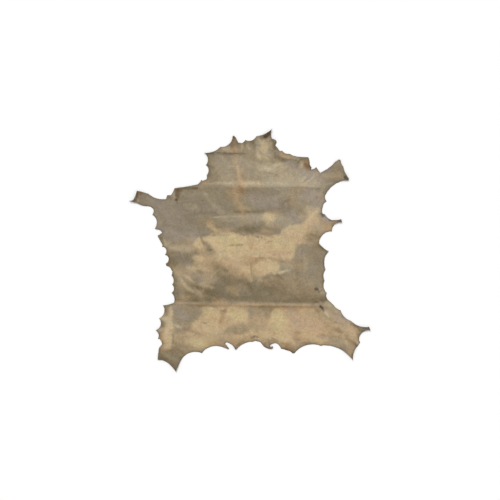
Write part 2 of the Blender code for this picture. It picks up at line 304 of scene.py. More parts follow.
def depth_in(x, y):
    """Signed distance in from the rim: the least distance to its segments, positive inside, where
    a line to the right crosses the rim an odd number of times."""
    nearest = np.full(x.shape, np.inf)
    inside = np.zeros(x.shape, bool)
    for (ax, ay), (bx, by) in zip(rim, np.roll(rim, -1, axis=0)):
        dx, dy = bx - ax, by - ay
        t = np.clip(((x - ax) * dx + (y - ay) * dy) / (dx * dx + dy * dy), 0, 1)
        nearest = np.minimum(nearest, (x - ax - t * dx) ** 2 + (y - ay - t * dy) ** 2)
        if dy:
            inside ^= ((ay > y) != (by > y)) & (x < ax + dx * (y - ay) / dy)
    return np.where(inside, 1, -1) * np.sqrt(nearest)


# ---- The sheet's mesh ----
# Both faces of the skin carry the same points: the rim, a ring just inside it, and rows of evenly
# spaced points between, bent so that a row runs along each fold. A wall joins the two faces.
SPACING = 3.75
ROW_PITCH = SPACING * np.sqrt(3) / 2
FIELD_HALF = 515.0
ROW_BEND_REACH = 60.0    # rows this near a fold bend toward it
RING_INSET = 1.5
RING_CLEARANCE = 1.2     # ring points and row points stand at least this far in from the rim
FIELD_CLEARANCE = 2.9
INSIDE_ONLY = 1          # the triangulation's choice of the faces inside the rim
WELD = 1e-5              # points closer than this are one
RIM_THINNING = 0.8       # the rim is this much thinner, over this width
RIM_THINNING_WIDTH = 2.5

rows = np.arange(-FIELD_HALF, FIELD_HALF, ROW_PITCH)
columns = np.arange(-FIELD_HALF, FIELD_HALF, SPACING)
field_x, row_y = np.meshgrid(columns, rows)
field_x = field_x + SPACING / 2 * (np.arange(len(rows)) % 2)[:, None]
field_y = row_y.copy()
for fold in FOLDS.values():
    crest = fold.y + (field_x - fold.x) * (fold.to_y - fold.y) / (fold.to_x - fold.x)
    crest = crest + CREST_WANDER * chance(field_x, crest, CREST_WAVE, CREST_SEED)
    nearest_row = rows[np.argmin(np.abs(rows - (fold.y + fold.to_y) / 2))]
    field_y += (crest - nearest_row) * bump(np.abs(row_y - nearest_row) / ROW_BEND_REACH)
field = np.stack([field_x.ravel(), field_y.ravel()], axis=1)
field = field[depth_in(*field.T) > FIELD_CLEARANCE]
ring = rim - outward * RING_INSET
ring = ring[depth_in(*ring.T) > RING_CLEARANCE]
points = [Vector(point) for point in np.concatenate([rim, ring, field])]
count = len(rim)
loop = [list(range(count))]
flat, _, faces, _, _, _ = delaunay_2d_cdt(points, [], loop, INSIDE_ONLY, WELD, False)
flat, faces = np.array(flat), np.array(faces)
x, y = flat.T
across_bay = (faces < count).all(axis=1)
across_bay[across_bay] = depth_in(*flat[faces[across_bay]].mean(axis=1).T) < 0
faces = faces[~across_bay]
first, second, third = (flat[faces[:, corner]] for corner in range(3))
turned = np.cross(second - first, third - first) < 0
faces[turned] = faces[turned][:, ::-1]
sides = np.concatenate([faces[:, [0, 1]], faces[:, [1, 2]], faces[:, [2, 0]]])
unordered = np.sort(sides, axis=1)
_, first_use, uses = np.unique(unordered, axis=0, return_index=True, return_counts=True)
border = sides[first_use[uses == 1]]

from_rim = np.maximum(depth_in(x, y), 0)
thinner = RIM_THINNING * np.clip(1 - from_rim / RIM_THINNING_WIDTH, 0, 1) ** 2
low = underside(x, y)
top = np.stack([x, y, low + THICKNESS - thinner], axis=1)
bottom = np.stack([x, y, low], axis=1)
under = len(x)
wall = np.stack([border[:, 0] + under, border[:, 1] + under, border[:, 1], border[:, 0]], axis=1)
polygons = faces.tolist() + (faces[:, ::-1] + under).tolist() + wall.tolist()
skin_mesh = bpy.data.meshes.new("hide_skin")
skin_mesh.from_pydata(np.concatenate([top, bottom]) * MM, [], polygons)
skin_mesh.polygons.foreach_set("use_smooth", [True] * len(polygons))
skin = bpy.data.objects.new("hide_skin", skin_mesh)
bpy.context.scene.collection.objects.link(skin)

# ---- The stains of the skin, and painted light and shade ----
# Raw skin dries to cream where it is clean and thin, and to grey-brown where fat and dirt stay in
# it. Not every stroke is a stain: many long thin strokes along the folds, and some along wrinkles,
# are painted highlights on the crests and painted shade beside them. A stroke runs from one point
# to another, with a soft edge that wanders. Each pigment's strokes become one mask on the skin, and
# the pigments are laid over each other in this order.
Pigment = namedtuple("Pigment", "red green blue blur")
BARE_SKIN = (143, 131, 112)
RIM_BROWN = (98, 83, 62)
PIGMENTS = {
    "sand": Pigment(161, 143, 115, 24.9),
    "buff": Pigment(180, 155, 122, 16.6),
    "smoke_and_shade": Pigment(120, 107, 82, 11.6),
    "pale": Pigment(174, 160, 136, 8.3),
    "cream": Pigment(198, 175, 139, 7.5),
    "straw": Pigment(194, 178, 135, 10.8),
    "peach": Pigment(192, 164, 132, 10.8),
    "tan": Pigment(176, 148, 112, 8.3),
    "rust_and_shade": Pigment(148, 118, 86, 6.6),
    "veil": Pigment(146, 133, 110, 8.3),
    "dusk_and_shade": Pigment(106, 94, 72, 7.5),
    "mauve": Pigment(160, 147, 137, 10.8),
    "bone_and_highlight": Pigment(193, 177, 149, 4.2),
    "umber": Pigment(76, 62, 46, 3.3),
}

# The reach is the stroke's half width, and the depth how much of the skin under it is covered.
StainOrLightStroke = namedtuple("StainOrLightStroke", "x y to_x to_y reach depth")
STAINS_AND_PAINTED_LIGHT = {
    "sand": [
        (-144, 353, -73, 299, 49.8, 0.5), (1, 415, 209, 299, 58.1, 0.5),
        (-185, 283, 292, 283, 20.8, 0.4), (209, 229, 284, 187, 33.2, 0.5),
        (147, 208, 284, 92, 33.2, 0.35), (209, 0, 284, -199, 66.4, 0.3), (-297, 25, -206, 0, 24.9, 0.6),
        (-310, -49, -165, -215, 58.1, 0.8), (-165, -49, 209, -116, 41.5, 0.7),
        (51, -132, 292, -207, 41.5, 0.5), (-347, -423, -248, -415, 37.4, 0.8),
        (-90, 249, 1, 146, 41.5, 0.4), (-185, 117, -61, 59, 33.2, 0.5),
        (-206, 249, -131, 208, 20.8, 0.45), (-69, -128, -15, -149, 16.6, 0.3),
        (151, 258, 209, 158, 20.8, 0.4), (151, -141, 201, -166, 20.8, 0.25),
        (147, -95, 209, -141, 24.9, 0.25), (51, -149, 209, -182, 29.1, 0.2),
    ],
    "buff": [
        (-185, -282, 396, -311, 83, 0.9), (-322, -365, -144, -386, 37.4, 0.8),
        (-144, -373, 1, -373, 24.9, 0.8), (209, -365, 416, -365, 37.4, 0.8),
        (167, -398, 188, -406, 16.6, 0.5), (-360, -257, -355, -415, 24.9, 0.9),
        (-202, -24, -148, -49, 22.4, 0.8), (-206, -66, -165, -99, 24.9, 0.6),
        (-297, -70, -248, -103, 24.9, 0.5), (-173, -83, -156, -124, 16.6, 0.25),
        (-289, -141, -206, -199, 16.6, 0.35), (-131, -33, 10, -58, 33.2, 0.9),
        (-40, -66, 35, -99, 24.9, 0.8), (-115, -58, -57, -91, 20.8, 0.4),
        (250, 117, 317, 92, 24.9, 0.8), (51, -49, 167, -33, 20.8, 0.5),
        (-189, -166, -173, -207, 12.5, 0.4), (-90, -166, -57, -178, 20.8, 0.4),
        (51, -141, 93, -141, 16.6, 0.25), (-166, 117, -148, 88, 14.9, 0.6),
        (-140, 79, -65, 75, 12.5, 0.5), (-48, 266, -36, 158, 20.8, 0.3),
        (-243, 42, -206, 17, 20.8, 0.45), (209, 75, 333, 92, 20.8, 0.4),
        (-223, -49, -73, -83, 33.2, 0.5), (-177, -58, -102, -116, 24.9, 0.2),
        (408, -381, 433, -448, 16.6, 0.6), (-156, -41, -98, -91, 20.8, 0.6),
        (-231, -58, -181, -91, 16.6, 0.5), (-48, -107, 43, -157, 24.9, 0.3),
        (84, -107, 284, -174, 37.4, 0.18), (354, -348, 441, -381, 24.9, 0.5),
        (-331, 34, -156, -8, 16.6, 0.35), (-90, -91, -7, -182, 24.9, 0.25),
        (-339, 17, -227, 9, 10, 0.4), (-289, -190, -264, -207, 12.5, 0.4),
        (-202, -161, -181, -203, 10.8, 0.45), (226, 83, 292, 17, 20.8, 0.5),
        (284, 133, 342, 83, 16.6, 0.35), (-301, -215, -272, -232, 10, 0.4),
        (-281, -128, -256, -157, 6.6, 0.5), (192, 0, 226, -66, 20.8, 0.25),
        (234, 79, 300, 50, 16.6, 0.3), (-347, 13, -264, 0, 12.5, 0.3),
        (-248, -240, -189, -290, 24.9, 0.3), (-15, 332, 51, 274, 24.9, 0.25),
        (234, 83, 292, 59, 20.8, 0.3), (-264, -257, -189, -298, 24.9, 0.2),
    ],
    "smoke_and_shade": [
        # Grey-brown stains, and soft painted shade on the dark side of some wrinkles.
        (-19, 440, -7, 420, 10, 0.4), (10, 451, 22, 428, 10, 0.5), (10, 303, 76, 298, 6.2, 0.3),
        (-177, 391, -165, 299, 10.8, 0.6), (-173, 353, -144, 339, 8.3, 0.4),
        (-165, 316, -144, 291, 9.1, 0.2), (138, 378, 197, 355, 8.3, 0.5),
        (101, 446, 106, 424, 7.5, 0.65), (101, 405, 107, 378, 4.6, 0.4),
        (115, 399, 122, 374, 4.6, 0.35), (118, 381, 201, 371, 6.2, 0.6),
        (217, 379, 242, 379, 5.8, 0.45), (194, 349, 220, 380, 7.9, 0.65), (-15, 324, 51, 309, 9.1, 0.3),
        (43, 308, 114, 309, 10, 0.4), (114, 312, 159, 334, 8.3, 0.45), (-7, 308, 51, 295, 10, 0.2),
        (-185, 191, -131, 75, 33.2, 0.25), (-140, 249, -82, 166, 33.2, 0.15),
        (118, 175, 167, 208, 10.8, 0.3), (-61, 160, 51, 161, 9.1, 0.4),
        (-285, 142, -131, 156, 8.3, 0.25), (-119, 115, -86, 100, 9.1, 0.4),
        (-40, 247, 43, 247, 10, 0.25), (176, 258, 313, 258, 7.5, 0.3), (230, 200, 271, 195, 12.5, 0.2),
        (176, 150, 209, 137, 12.5, 0.25), (358, 341, 375, 324, 12.5, 0.35),
        (333, 299, 375, 283, 12.5, 0.2), (259, 67, 284, 59, 8.3, 0.4), (-48, 88, 51, 85, 14.1, 0.7),
        (-15, 112, 35, 100, 17.4, 0.5), (51, 90, 134, 88, 8.3, 0.35), (72, 73, 97, 63, 9.1, 0.5),
        (-90, 117, -40, 104, 12.5, 0.3), (143, 133, 192, 117, 16.6, 0.3),
        (-331, -39, -239, -37, 16.6, 0.55), (-322, -47, -248, -47, 7.5, 0.35),
        (-326, -41, -264, -44, 14.1, 0.7), (-264, -48, -243, -49, 5.8, 0.35),
        (-260, -12, -218, -12, 5, 0.15), (-351, 100, -331, 67, 12.5, 0.2),
        (-322, 88, -281, 79, 12.5, 0.15), (-152, -49, -131, -68, 13.3, 0.32),
        (-140, -72, -115, -76, 8.3, 0.45), (-115, -80, -92, -88, 7.5, 0.5),
        (-127, -91, -115, -120, 10, 0.45), (-135, -128, -82, -153, 24.9, 0.3),
        (-102, -120, -90, -137, 12.5, 0.4), (-165, -172, -90, -176, 31.5, 0.8),
        (-264, -174, -248, -190, 12.5, 0.55), (-235, -190, -214, -203, 14.1, 0.6),
        (-235, -149, -202, -161, 10, 0.6), (-235, -112, -210, -132, 10.8, 0.35),
        (-223, -78, -202, -91, 10, 0.4), (-181, -199, 209, -205, 9.1, 0.4),
        (-206, -207, -115, -211, 8.3, 0.4), (-48, -127, -19, -137, 12.5, 0.4),
        (-15, -141, 6, -157, 10, 0.35), (10, -128, 51, -145, 20.8, 0.6),
        (18, -157, 84, -170, 29.1, 0.55), (64, -110, 76, -116, 7.5, 0.3),
        (101, -107, 138, -118, 8.3, 0.4), (76, -145, 134, -166, 24.9, 0.4),
        (-73, -112, -23, -124, 16.6, 0.35), (-32, -178, 51, -195, 18.3, 0.5),
        (-98, -195, -32, -203, 10, 0.25), (209, -190, 313, -203, 12.5, 0.35),
        (284, 17, 321, -4, 12.5, 0.5), (238, 56, 292, 54, 10.8, 0.35), (234, 38, 284, 13, 16.6, 0.25),
        (217, 21, 219, -107, 5, 0.25), (201, -49, 203, -166, 6.6, 0.2), (259, 0, 284, -49, 16.6, 0.2),
        (-82, -317, -7, -318, 6.6, 0.25), (-115, -342, -40, -348, 8.3, 0.45),
        (-106, -348, -40, -348, 4.6, 0.3), (-364, -444, -297, -444, 33.2, 0.75),
        (-322, -473, -306, -498, 20.8, 0.6), (-314, -348, -301, -406, 10.8, 0.4),
        (-256, -398, -239, -406, 10, 0.3), (350, -323, 379, -344, 10.8, 0.3),
        (317, -298, 333, -315, 12.5, 0.2), (184, -344, 205, -348, 6.6, 0.3),
        (188, -369, 201, -394, 7.5, 0.2), (292, -356, 317, -365, 7.5, 0.35),
        (-119, -251, -98, -255, 6.6, 0.4), (425, -317, 454, -327, 8.3, 0.45),
        (-339, -232, -335, -269, 7.5, 0.4), (-370, -294, -366, -315, 6.6, 0.4),
        (-320, -323, -306, -340, 7.5, 0.4), (-314, -49, -308, -145, 10, 0.6),
        (-306, -145, -297, -207, 12.5, 0.5), (-351, 21, -339, -49, 8.3, 0.4),
        (-372, 75, -355, 17, 8.3, 0.4), (-181, 403, -148, 382, 12.5, 0.6),
        (-165, 382, -115, 374, 12.5, 0.3), (10, 447, 18, 451, 7.5, 0.5),
        (-289, 255, -239, 260, 7.5, 0.35), (192, -203, 313, -207, 8.3, 0.3),
        (-289, -203, -148, -211, 10, 0.45), (26, -243, 105, -246, 7.5, 0.25),
        (-289, -224, -206, -232, 10, 0.2), (-310, -49, -264, -83, 16.6, 0.35),
        (-181, 225, -148, 183, 16.6, 0.2), (-102, -141, -65, -166, 16.6, 0.35),
        (-297, 220, -248, 187, 20.8, 0.25), (134, 200, 167, 175, 12.5, 0.35),
        (-185, 175, 1, 158, 12.5, 0.25), (-23, -29, 18, -107, 12.5, 0.25),
        (209, -224, 300, -282, 24.9, 0.2), (130, 372, 192, 370, 5.8, 0.35),
        (159, 367, 192, 355, 9.1, 0.35), (226, 366, 246, 337, 10, 0.5),
        (-304, 251, -285, 248, 6.6, 0.65), (-303, 249, -299, 212, 6.6, 0.6),
        (-281, 191, -206, 183, 12.5, 0.25), (-264, -211, -243, -211, 6.2, 0.5),
        (-235, -210, -206, -214, 5.8, 0.55), (-185, -195, -156, -210, 8.3, 0.4),
        (-264, -172, -218, -180, 5.8, 0.35), (122, -46, 147, -49, 4.2, 0.6),
        (122, -103, 151, -105, 5, 0.2), (68, -102, 80, -112, 5.8, 0.2), (238, 59, 255, 46, 6.6, 0.2),
        (190, 262, 199, 208, 3.7, 0.3), (158, 208, 160, 166, 3.3, 0.3),
        (176, -186, 209, -199, 10.8, 0.3), (118, -107, 143, -149, 12.5, 0.3),
        (1, -234, 167, -235, 4.2, 0.3), (60, -244, 97, -253, 8.3, 0.2), (182, -366, 205, -375, 5, 0.35),
        (367, -344, 383, -365, 10, 0.4), (449, -336, 452, -369, 5.4, 0.7),
        (-40, -377, -7, -386, 6.6, 0.4), (126, -402, 192, -419, 8.3, 0.35),
        (213, -386, 284, -384, 6.2, 0.65), (-21, 450, -15, 432, 4.6, 0.45),
        (155, 370, 197, 353, 10.8, 0.4), (-73, -137, -32, -170, 14.1, 0.35),
        (-106, -99, -73, -128, 12.5, 0.25), (226, -205, 300, -209, 5.8, 0.3),
        (-181, -199, -148, -211, 10, 0.35), (10, -249, 84, -257, 10.8, 0.25),
        (143, -215, 209, -224, 10, 0.25), (122, 175, 143, 179, 5.8, 0.4),
        (138, 175, 162, 212, 6.6, 0.26), (-354, 112, -350, 92, 3.7, 0.3),
        (-248, -137, -218, -153, 5, 0.25), (209, -149, 300, -199, 20.8, 0.25),
        (192, -33, 199, -107, 8.3, 0.3), (288, 17, 313, -1, 5.8, 0.6),
        (-363, -296, -359, -315, 7.5, 0.6), (-350, -232, -343, -269, 7.5, 0.45),
        (-272, -282, -256, -319, 7.5, 0.4), (-318, -327, -289, -333, 5, 0.4),
        (439, -383, 443, -402, 5, 0.6), (-98, -196, 1, -200, 9.1, 0.4),
        (-15, -210, 292, -213, 4.2, 0.35), (-7, -190, 300, -199, 16.6, 0.25),
        (10, -170, 143, -182, 20.8, 0.22), (-90, -116, -40, -128, 14.1, 0.3),
        (-322, -41, -264, -141, 24.9, 0.16), (-140, -66, 1, -149, 33.2, 0.13),
        (-98, 241, -23, 175, 24.9, 0.15), (-364, 71, -264, 29, 20.8, 0.26),
        (151, 241, 217, 183, 24.9, 0.14), (213, -385, 284, -382, 5.8, 0.45),
        (194, 21, 197, -29, 6.6, 0.12), (-252, -190, -227, -207, 14.1, 0.5),
        (-173, 11, -160, 0, 7.5, 0.25), (6, 453, 24, 435, 8.3, 0.5), (126, 176, 155, 204, 8.3, 0.2),
        (-281, 254, -210, 259, 5.4, 0.4), (259, 81, 288, 71, 5, 0.3),
        (-264, 129, -115, 100, 24.9, 0.18), (-364, -415, -289, -439, 24.9, 0.2),
        (-23, -205, 300, -209, 5.4, 0.15), (51, 302, 101, 301, 6.2, 0.35),
        (105, 305, 151, 330, 5.8, 0.35), (-264, -29, -214, -16, 8.3, 0.2),
        (51, -224, 93, -257, 12.5, 0.2), (-115, -336, -73, -327, 10, 0.3),
        (-40, -315, -3, -311, 8.3, 0.25), (-272, -286, -252, -319, 14.1, 0.3),
        (309, -319, 367, -356, 12.5, 0.2), (-347, -55, -252, -58, 7.5, 0.35),
        (-339, -18, -256, -16, 7.5, 0.25), (184, -257, 201, -261, 12.5, 0.2),
        (-173, -166, -106, -190, 20.8, 0.3), (-48, -174, 1, -199, 16.6, 0.3),
        (-281, 166, -181, 150, 10, 0.3), (-314, -386, -264, -410, 12.5, 0.16),
        (-268, -116, -256, -124, 5.4, 0.3), (284, -249, 300, -257, 6.6, 0.25),
    ],
    "pale": [
        # Pale patches, and soft painted light on the lit side of some wrinkles.
        (-148, 382, -90, 308, 33.2, 0.18), (26, 341, 209, 316, 29.1, 0.4),
        (-115, 432, -73, 415, 10.4, 0.4), (-185, 278, 292, 273, 10.8, 0.8),
        (209, 312, 259, 278, 24.9, 0.35), (-322, 241, -314, 220, 7.5, 0.6),
        (-40, 139, 51, 143, 10.8, 0.6), (51, 139, 134, 142, 13.3, 0.5), (134, 137, 209, 152, 10, 0.3),
        (-160, 135, -32, 139, 4.6, 0.55), (209, 187, 259, 158, 16.6, 0.4),
        (-351, 17, -239, 0, 10.8, 0.3), (-360, 38, -331, 25, 10, 0.5),
        (-306, -87, -264, -74, 16.6, 0.4), (-189, 241, -156, 200, 10, 0.2),
        (-148, 191, -115, 154, 12.5, 0.2), (-285, 225, -264, 247, 5, 0.2),
        (-264, 183, -218, 175, 12.5, 0.25), (-131, 361, -86, 341, 12.5, 0.25),
        (-106, 301, -82, 295, 12.5, 0.2), (126, 349, 176, 361, 12.5, 0.4), (31, 348, 51, 344, 5.8, 0.5),
        (51, 345, 84, 337, 7.5, 0.8), (84, 337, 114, 352, 7.5, 0.7), (114, 352, 143, 357, 5.8, 0.4),
        (217, 278, 246, 312, 6.6, 0.5), (255, 308, 288, 287, 9.1, 0.35),
        (205, 341, 217, 361, 5.8, 0.45), (313, 303, 350, 312, 10, 0.35),
        (-57, 374, -38, 283, 10.8, 0.25), (76, 208, 134, 229, 10.4, 0.15), (-331, 9, -297, 9, 8.3, 0.6),
        (-277, 17, -252, 15, 8.3, 0.5), (-318, -4, -248, -6, 5, 0.4),
        (-272, -105, -235, -132, 7.5, 0.55), (-285, -120, -260, -157, 7.5, 0.75),
        (-260, -157, -239, -172, 6.2, 0.6), (-248, -166, -218, -180, 5.8, 0.25),
        (-248, -68, -218, -83, 10, 0.5), (-199, -137, -179, -146, 10, 0.5),
        (-165, -91, -152, -124, 9.1, 0.3), (-90, -166, -57, -174, 16.6, 0.15),
        (72, -137, 80, -149, 8.3, 0.3), (284, -184, 313, -176, 6.6, 0.6),
        (-306, -74, -289, -70, 8.3, 0.3), (-314, -307, -281, -321, 8.3, 0.6),
        (1, -257, 51, -265, 16.6, 0.25), (300, -255, 325, -273, 7.5, 0.6),
        (333, -220, 338, -240, 6.6, 0.5), (354, -249, 379, -269, 10.8, 0.5),
        (400, -282, 425, -298, 12.5, 0.3), (292, 283, 333, 308, 16.6, 0.2),
        (221, -149, 275, -128, 10.4, 0.2), (234, -49, 250, -83, 12.5, 0.2),
        (51, 324, 259, 283, 37.4, 0.4), (217, 299, 292, 274, 24.9, 0.35),
        (-40, 353, 51, 324, 33.2, 0.3), (-144, 133, -40, 133, 12.5, 0.35),
        (-40, 133, 51, 129, 16.6, 0.4), (234, 125, 284, 83, 20.8, 0.35),
        (325, -224, 342, -249, 14.1, 0.5), (68, 357, 101, 341, 16.6, 0.35),
        (76, 308, 201, 233, 33.2, 0.3), (217, 266, 292, 183, 29.1, 0.35),
        (-156, 121, 51, 108, 16.6, 0.2), (-57, 129, 60, 121, 12.5, 0.2),
        (242, 117, 300, 83, 20.8, 0.35), (354, 374, 400, 299, 20.8, 0.3),
        (-331, -249, -306, -340, 14.1, 0.5), (1, -107, 60, -157, 16.6, 0.25),
        (221, 283, 245, 316, 5.4, 0.4), (250, 308, 292, 283, 14.1, 0.35),
        (35, 324, 209, 283, 24.9, 0.25), (226, 332, 255, 320, 8.3, 0.35),
        (130, -58, 167, -74, 14.1, 0.55), (10, -83, 26, -107, 6.6, 0.4),
        (284, -171, 313, -178, 8.3, 0.4), (-29, 444, -34, 411, 3.7, 0.5),
        (109, 345, 163, 328, 14.1, 0.4), (126, 291, 209, 283, 16.6, 0.35),
        (-131, 386, -82, 349, 16.6, 0.25), (-23, 432, 1, 407, 10, 0.3), (267, 324, 317, 308, 12.5, 0.4),
        (51, 142, 209, 100, 20.8, 0.45), (234, 183, 292, 150, 12.5, 0.4),
        (-347, -423, -289, -448, 20.8, 0.35), (325, -224, 392, -282, 10.8, 0.4),
        (-189, 241, -160, 200, 6.6, 0.5), (-156, 191, -119, 158, 6.2, 0.45),
        (-324, -438, -306, -452, 7.5, 0.45), (60, 324, 151, 266, 24.9, 0.4),
        (26, 324, 84, 291, 16.6, 0.2), (242, 154, 275, 121, 14.1, 0.3), (109, 142, 167, 117, 16.6, 0.3),
        (-11, 345, 6, 299, 16.6, 0.4), (114, 345, 155, 355, 10.8, 0.5), (-9, 436, 0, 420, 5.8, 0.45),
        (-62, 456, -55, 449, 3.7, 0.4), (51, 278, 201, 273, 9.1, 0.55),
        (-329, 229, -316, 237, 4.6, 0.6), (-194, 245, -160, 201, 6.6, 0.4),
        (-152, 191, -106, 156, 6.2, 0.35), (159, -149, 192, -166, 14.1, 0.12),
        (-148, 361, -127, 320, 5, 0.3), (-106, 298, -69, 316, 5.4, 0.35),
        (-36, 378, -11, 363, 8.3, 0.3), (242, 291, 284, 278, 8.3, 0.3), (31, 443, 37, 415, 10, 0.5),
        (31, 471, 39, 457, 6.2, 0.6), (66, 405, 80, 391, 10, 0.5), (226, 320, 255, 295, 12.5, 0.35),
        (-115, 345, -82, 320, 16.6, 0.3), (147, 396, 201, 386, 4.6, 0.5),
        (226, 316, 284, 291, 20.8, 0.3), (68, 328, 143, 291, 24.9, 0.3),
        (205, 137, 238, 154, 10.8, 0.5), (230, 79, 275, 108, 9.1, 0.4), (288, 233, 309, 262, 9.1, 0.4),
        (284, 278, 333, 299, 6.2, 0.3), (31, 386, 55, 376, 8.3, 0.45), (176, 386, 201, 380, 6.2, 0.35),
        (-264, -348, -206, -398, 20.8, 0.3), (309, -365, 383, -390, 16.6, 0.3),
        (263, 308, 292, 324, 10, 0.45), (72, 332, 105, 330, 7.5, 0.4), (39, 384, 60, 376, 7.5, 0.4),
        (89, 259, 118, 255, 7.5, 0.4), (317, -355, 342, -359, 7.5, 0.35),
        (-389, 142, -372, 108, 7.5, 0.4), (-378, -327, -364, -338, 5.8, 0.5),
        (143, -39, 167, -44, 6.2, 0.4), (68, 337, 109, 341, 7.5, 0.4), (31, 287, 47, 270, 10, 0.25),
    ],
    "cream": [
        (61, 446, 64, 430, 13.3, 0.6), (51, 424, 57, 418, 10, 0.4), (60, 424, 61, 411, 10.8, 0.35),
        (37, 399, 43, 391, 6.6, 0.2), (-82, 277, 51, 276, 7.5, 0.4), (-56, 370, -43, 303, 3.7, 0.45),
        (-46, 341, -41, 287, 5.4, 0.5), (69, 139, 93, 131, 13.3, 0.95), (72, 112, 89, 104, 9.1, 0.3),
        (286, 172, 263, 142, 7.1, 0.85), (263, 142, 248, 121, 8.3, 0.7),
        (192, 92, 226, 100, 12.5, 0.55), (-216, 36, -210, 21, 15.8, 0.8),
        (-211, 56, -209, 42, 4.2, 0.5), (-189, 47, -140, 46, 11.6, 0.85),
        (-140, 42, -57, 42, 31.1, 0.9), (-115, 63, -65, 67, 10.4, 0.6), (-57, 29, 60, 21, 35.3, 0.9),
        (-135, 9, -106, -8, 20.8, 0.8), (-115, 0, 10, -16, 33.2, 0.85), (51, 25, 151, 29, 33.2, 0.9),
        (151, 75, 217, 83, 20.8, 0.85), (147, 50, 197, 50, 24.9, 0.85), (84, 0, 157, 0, 35.7, 0.8),
        (51, -12, 163, -16, 20.8, 0.5), (35, -66, 97, -70, 27, 0.9), (18, -87, 60, -91, 14.5, 0.6),
        (-15, -74, 35, -91, 12.5, 0.3), (-224, -31, -202, -37, 11.6, 0.7),
        (-36, -66, -15, -87, 16.6, 0.6), (-115, -29, -40, -41, 20.8, 0.35),
        (-3, -103, 6, -120, 10, 0.5), (-102, -24, -61, -33, 16.6, 0.4),
        (-181, -253, -135, -273, 20.8, 0.5), (-231, -311, -185, -323, 14.5, 0.6),
        (-185, -298, -140, -315, 16.6, 0.5), (-73, -261, -32, -271, 24.9, 0.65),
        (109, -264, 138, -290, 19.9, 0.7), (101, -298, 159, -340, 24.9, 0.6),
        (-345, -323, -341, -373, 14.1, 0.7), (-347, -390, -339, -406, 12.5, 0.5),
        (-264, -381, -194, -386, 14.5, 0.5), (221, -257, 267, -269, 16.6, 0.35),
        (118, -365, 159, -373, 12.5, 0.5), (18, -327, 26, -352, 10, 0.5),
        (221, -352, 275, -361, 12.5, 0.35), (400, -336, 421, -356, 14.1, 0.5),
        # The short level strokes at y -220 to -230 on this line and the next two paint highlight along
        # the rump fold's crest.
        (-57, -365, -7, -354, 7.5, 0.35), (-297, -220, -260, -220, 4.6, 0.25),
        (-148, -220, -94, -220, 5, 0.3), (-48, -221, 1, -224, 4.2, 0.15),
        (217, -228, 246, -230, 5.8, 0.3), (-331, -232, -328, -394, 12.5, 0.75),
        (-365, -281, -335, -288, 7.9, 0.7), (-248, -340, -115, -373, 24.9, 0.35),
        (1, -327, 76, -356, 20.8, 0.3), (259, 150, 275, 129, 8.3, 0.3),
        (-231, -323, -106, -356, 20.8, 0.4), (-131, -315, -82, -348, 16.6, 0.3),
        (10, -332, 68, -365, 16.6, 0.35), (-223, -62, -189, -83, 10.8, 0.4),
        (-347, -332, -335, -406, 12.5, 0.4), (-322, -240, -314, -390, 10, 0.3),
        (134, 396, 159, 384, 6.6, 0.35), (211, 366, 217, 341, 5.4, 0.4),
        (-156, 93, -135, 81, 6.6, 0.45), (-357, 38, -347, 17, 6.2, 0.45), (-318, 11, -297, 8, 4.2, 0.4),
        (35, -23, 64, -29, 3.3, 0.5), (64, -29, 84, -47, 3.7, 0.55), (84, -47, 97, -58, 3.7, 0.3),
        (-40, -64, -19, -72, 4.2, 0.5), (-19, -72, -1, -99, 4.2, 0.45),
        (-316, -308, -282, -322, 5.4, 0.55), (6, -319, 26, -336, 6.2, 0.45),
        (-52, -356, -32, -367, 5, 0.4), (176, -373, 184, -390, 5, 0.45),
        (93, -298, 143, -332, 16.6, 0.35), (-185, -332, -115, -348, 16.6, 0.3),
        (348, -340, 365, -351, 5.4, 0.45), (416, -323, 437, -356, 10.8, 0.5),
        (68, 146, 93, 129, 10.8, 0.45), (1, -332, 76, -365, 16.6, 0.45), (-15, -356, 51, -365, 10, 0.3),
        (221, -361, 300, -377, 14.1, 0.4), (317, -365, 416, -386, 14.1, 0.3),
        (143, -348, 176, -381, 12.5, 0.35), (-331, -340, -289, -390, 12.5, 0.3),
        (64, 146, 109, 146, 7.5, 0.5), (263, 146, 238, 108, 10.8, 0.5), (167, 96, 242, 100, 10, 0.45),
        (-173, 104, -160, 98, 6.6, 0.4), (-152, 85, -140, 81, 5.8, 0.4), (-181, 52, -131, 49, 6.6, 0.5),
        (-256, -68, -223, -78, 7.5, 0.4), (-272, -102, -239, -127, 5, 0.5),
        (-181, -298, -123, -332, 24.9, 0.35), (-90, -246, -23, -248, 6.6, 0.3),
        (10, -330, 26, -338, 5.4, 0.5), (396, -327, 425, -352, 14.9, 0.45),
        (51, -348, 167, -373, 12.5, 0.3), (-171, 34, -154, 17, 7.9, 0.75),
        (-177, -273, -140, -311, 14.1, 0.6), (1, -340, 159, -361, 19.1, 0.3),
        (392, -332, 429, -351, 14.9, 0.35), (-181, -282, -160, -365, 24.9, 0.35),
        (-204, -136, -189, -142, 6.6, 0.28), (-256, -73, -223, -77, 7.5, 0.35),
        (275, 162, 250, 129, 10.8, 0.6), (250, 129, 234, 104, 10, 0.5),
        (333, -332, 425, -348, 19.1, 0.25), (-7, -344, 176, -361, 17.4, 0.3),
        (255, 166, 280, 142, 10, 0.3), (51, -340, 134, -373, 20.8, 0.25),
        (400, -323, 433, -361, 16.6, 0.3), (-7, 278, 60, 276, 8.3, 0.4),
        (-90, -244, -23, -298, 16.6, 0.15), (242, 175, 284, 117, 16.6, 0.2),
        (114, -244, 151, -290, 12.5, 0.25), (392, -327, 433, -361, 14.1, 0.35),
        (242, 158, 275, 125, 14.1, 0.3), (350, -344, 383, -336, 6.6, 0.3),
        (-98, -296, -61, -300, 10, 0.35), (36, -363, 53, -377, 8.3, 0.45),
        (60, -298, 151, -348, 29.1, 0.15), (-360, -249, -331, -307, 16.6, 0.25),
        (-98, -249, -23, -298, 29.1, 0.15), (43, -369, 55, -381, 7.5, 0.5),
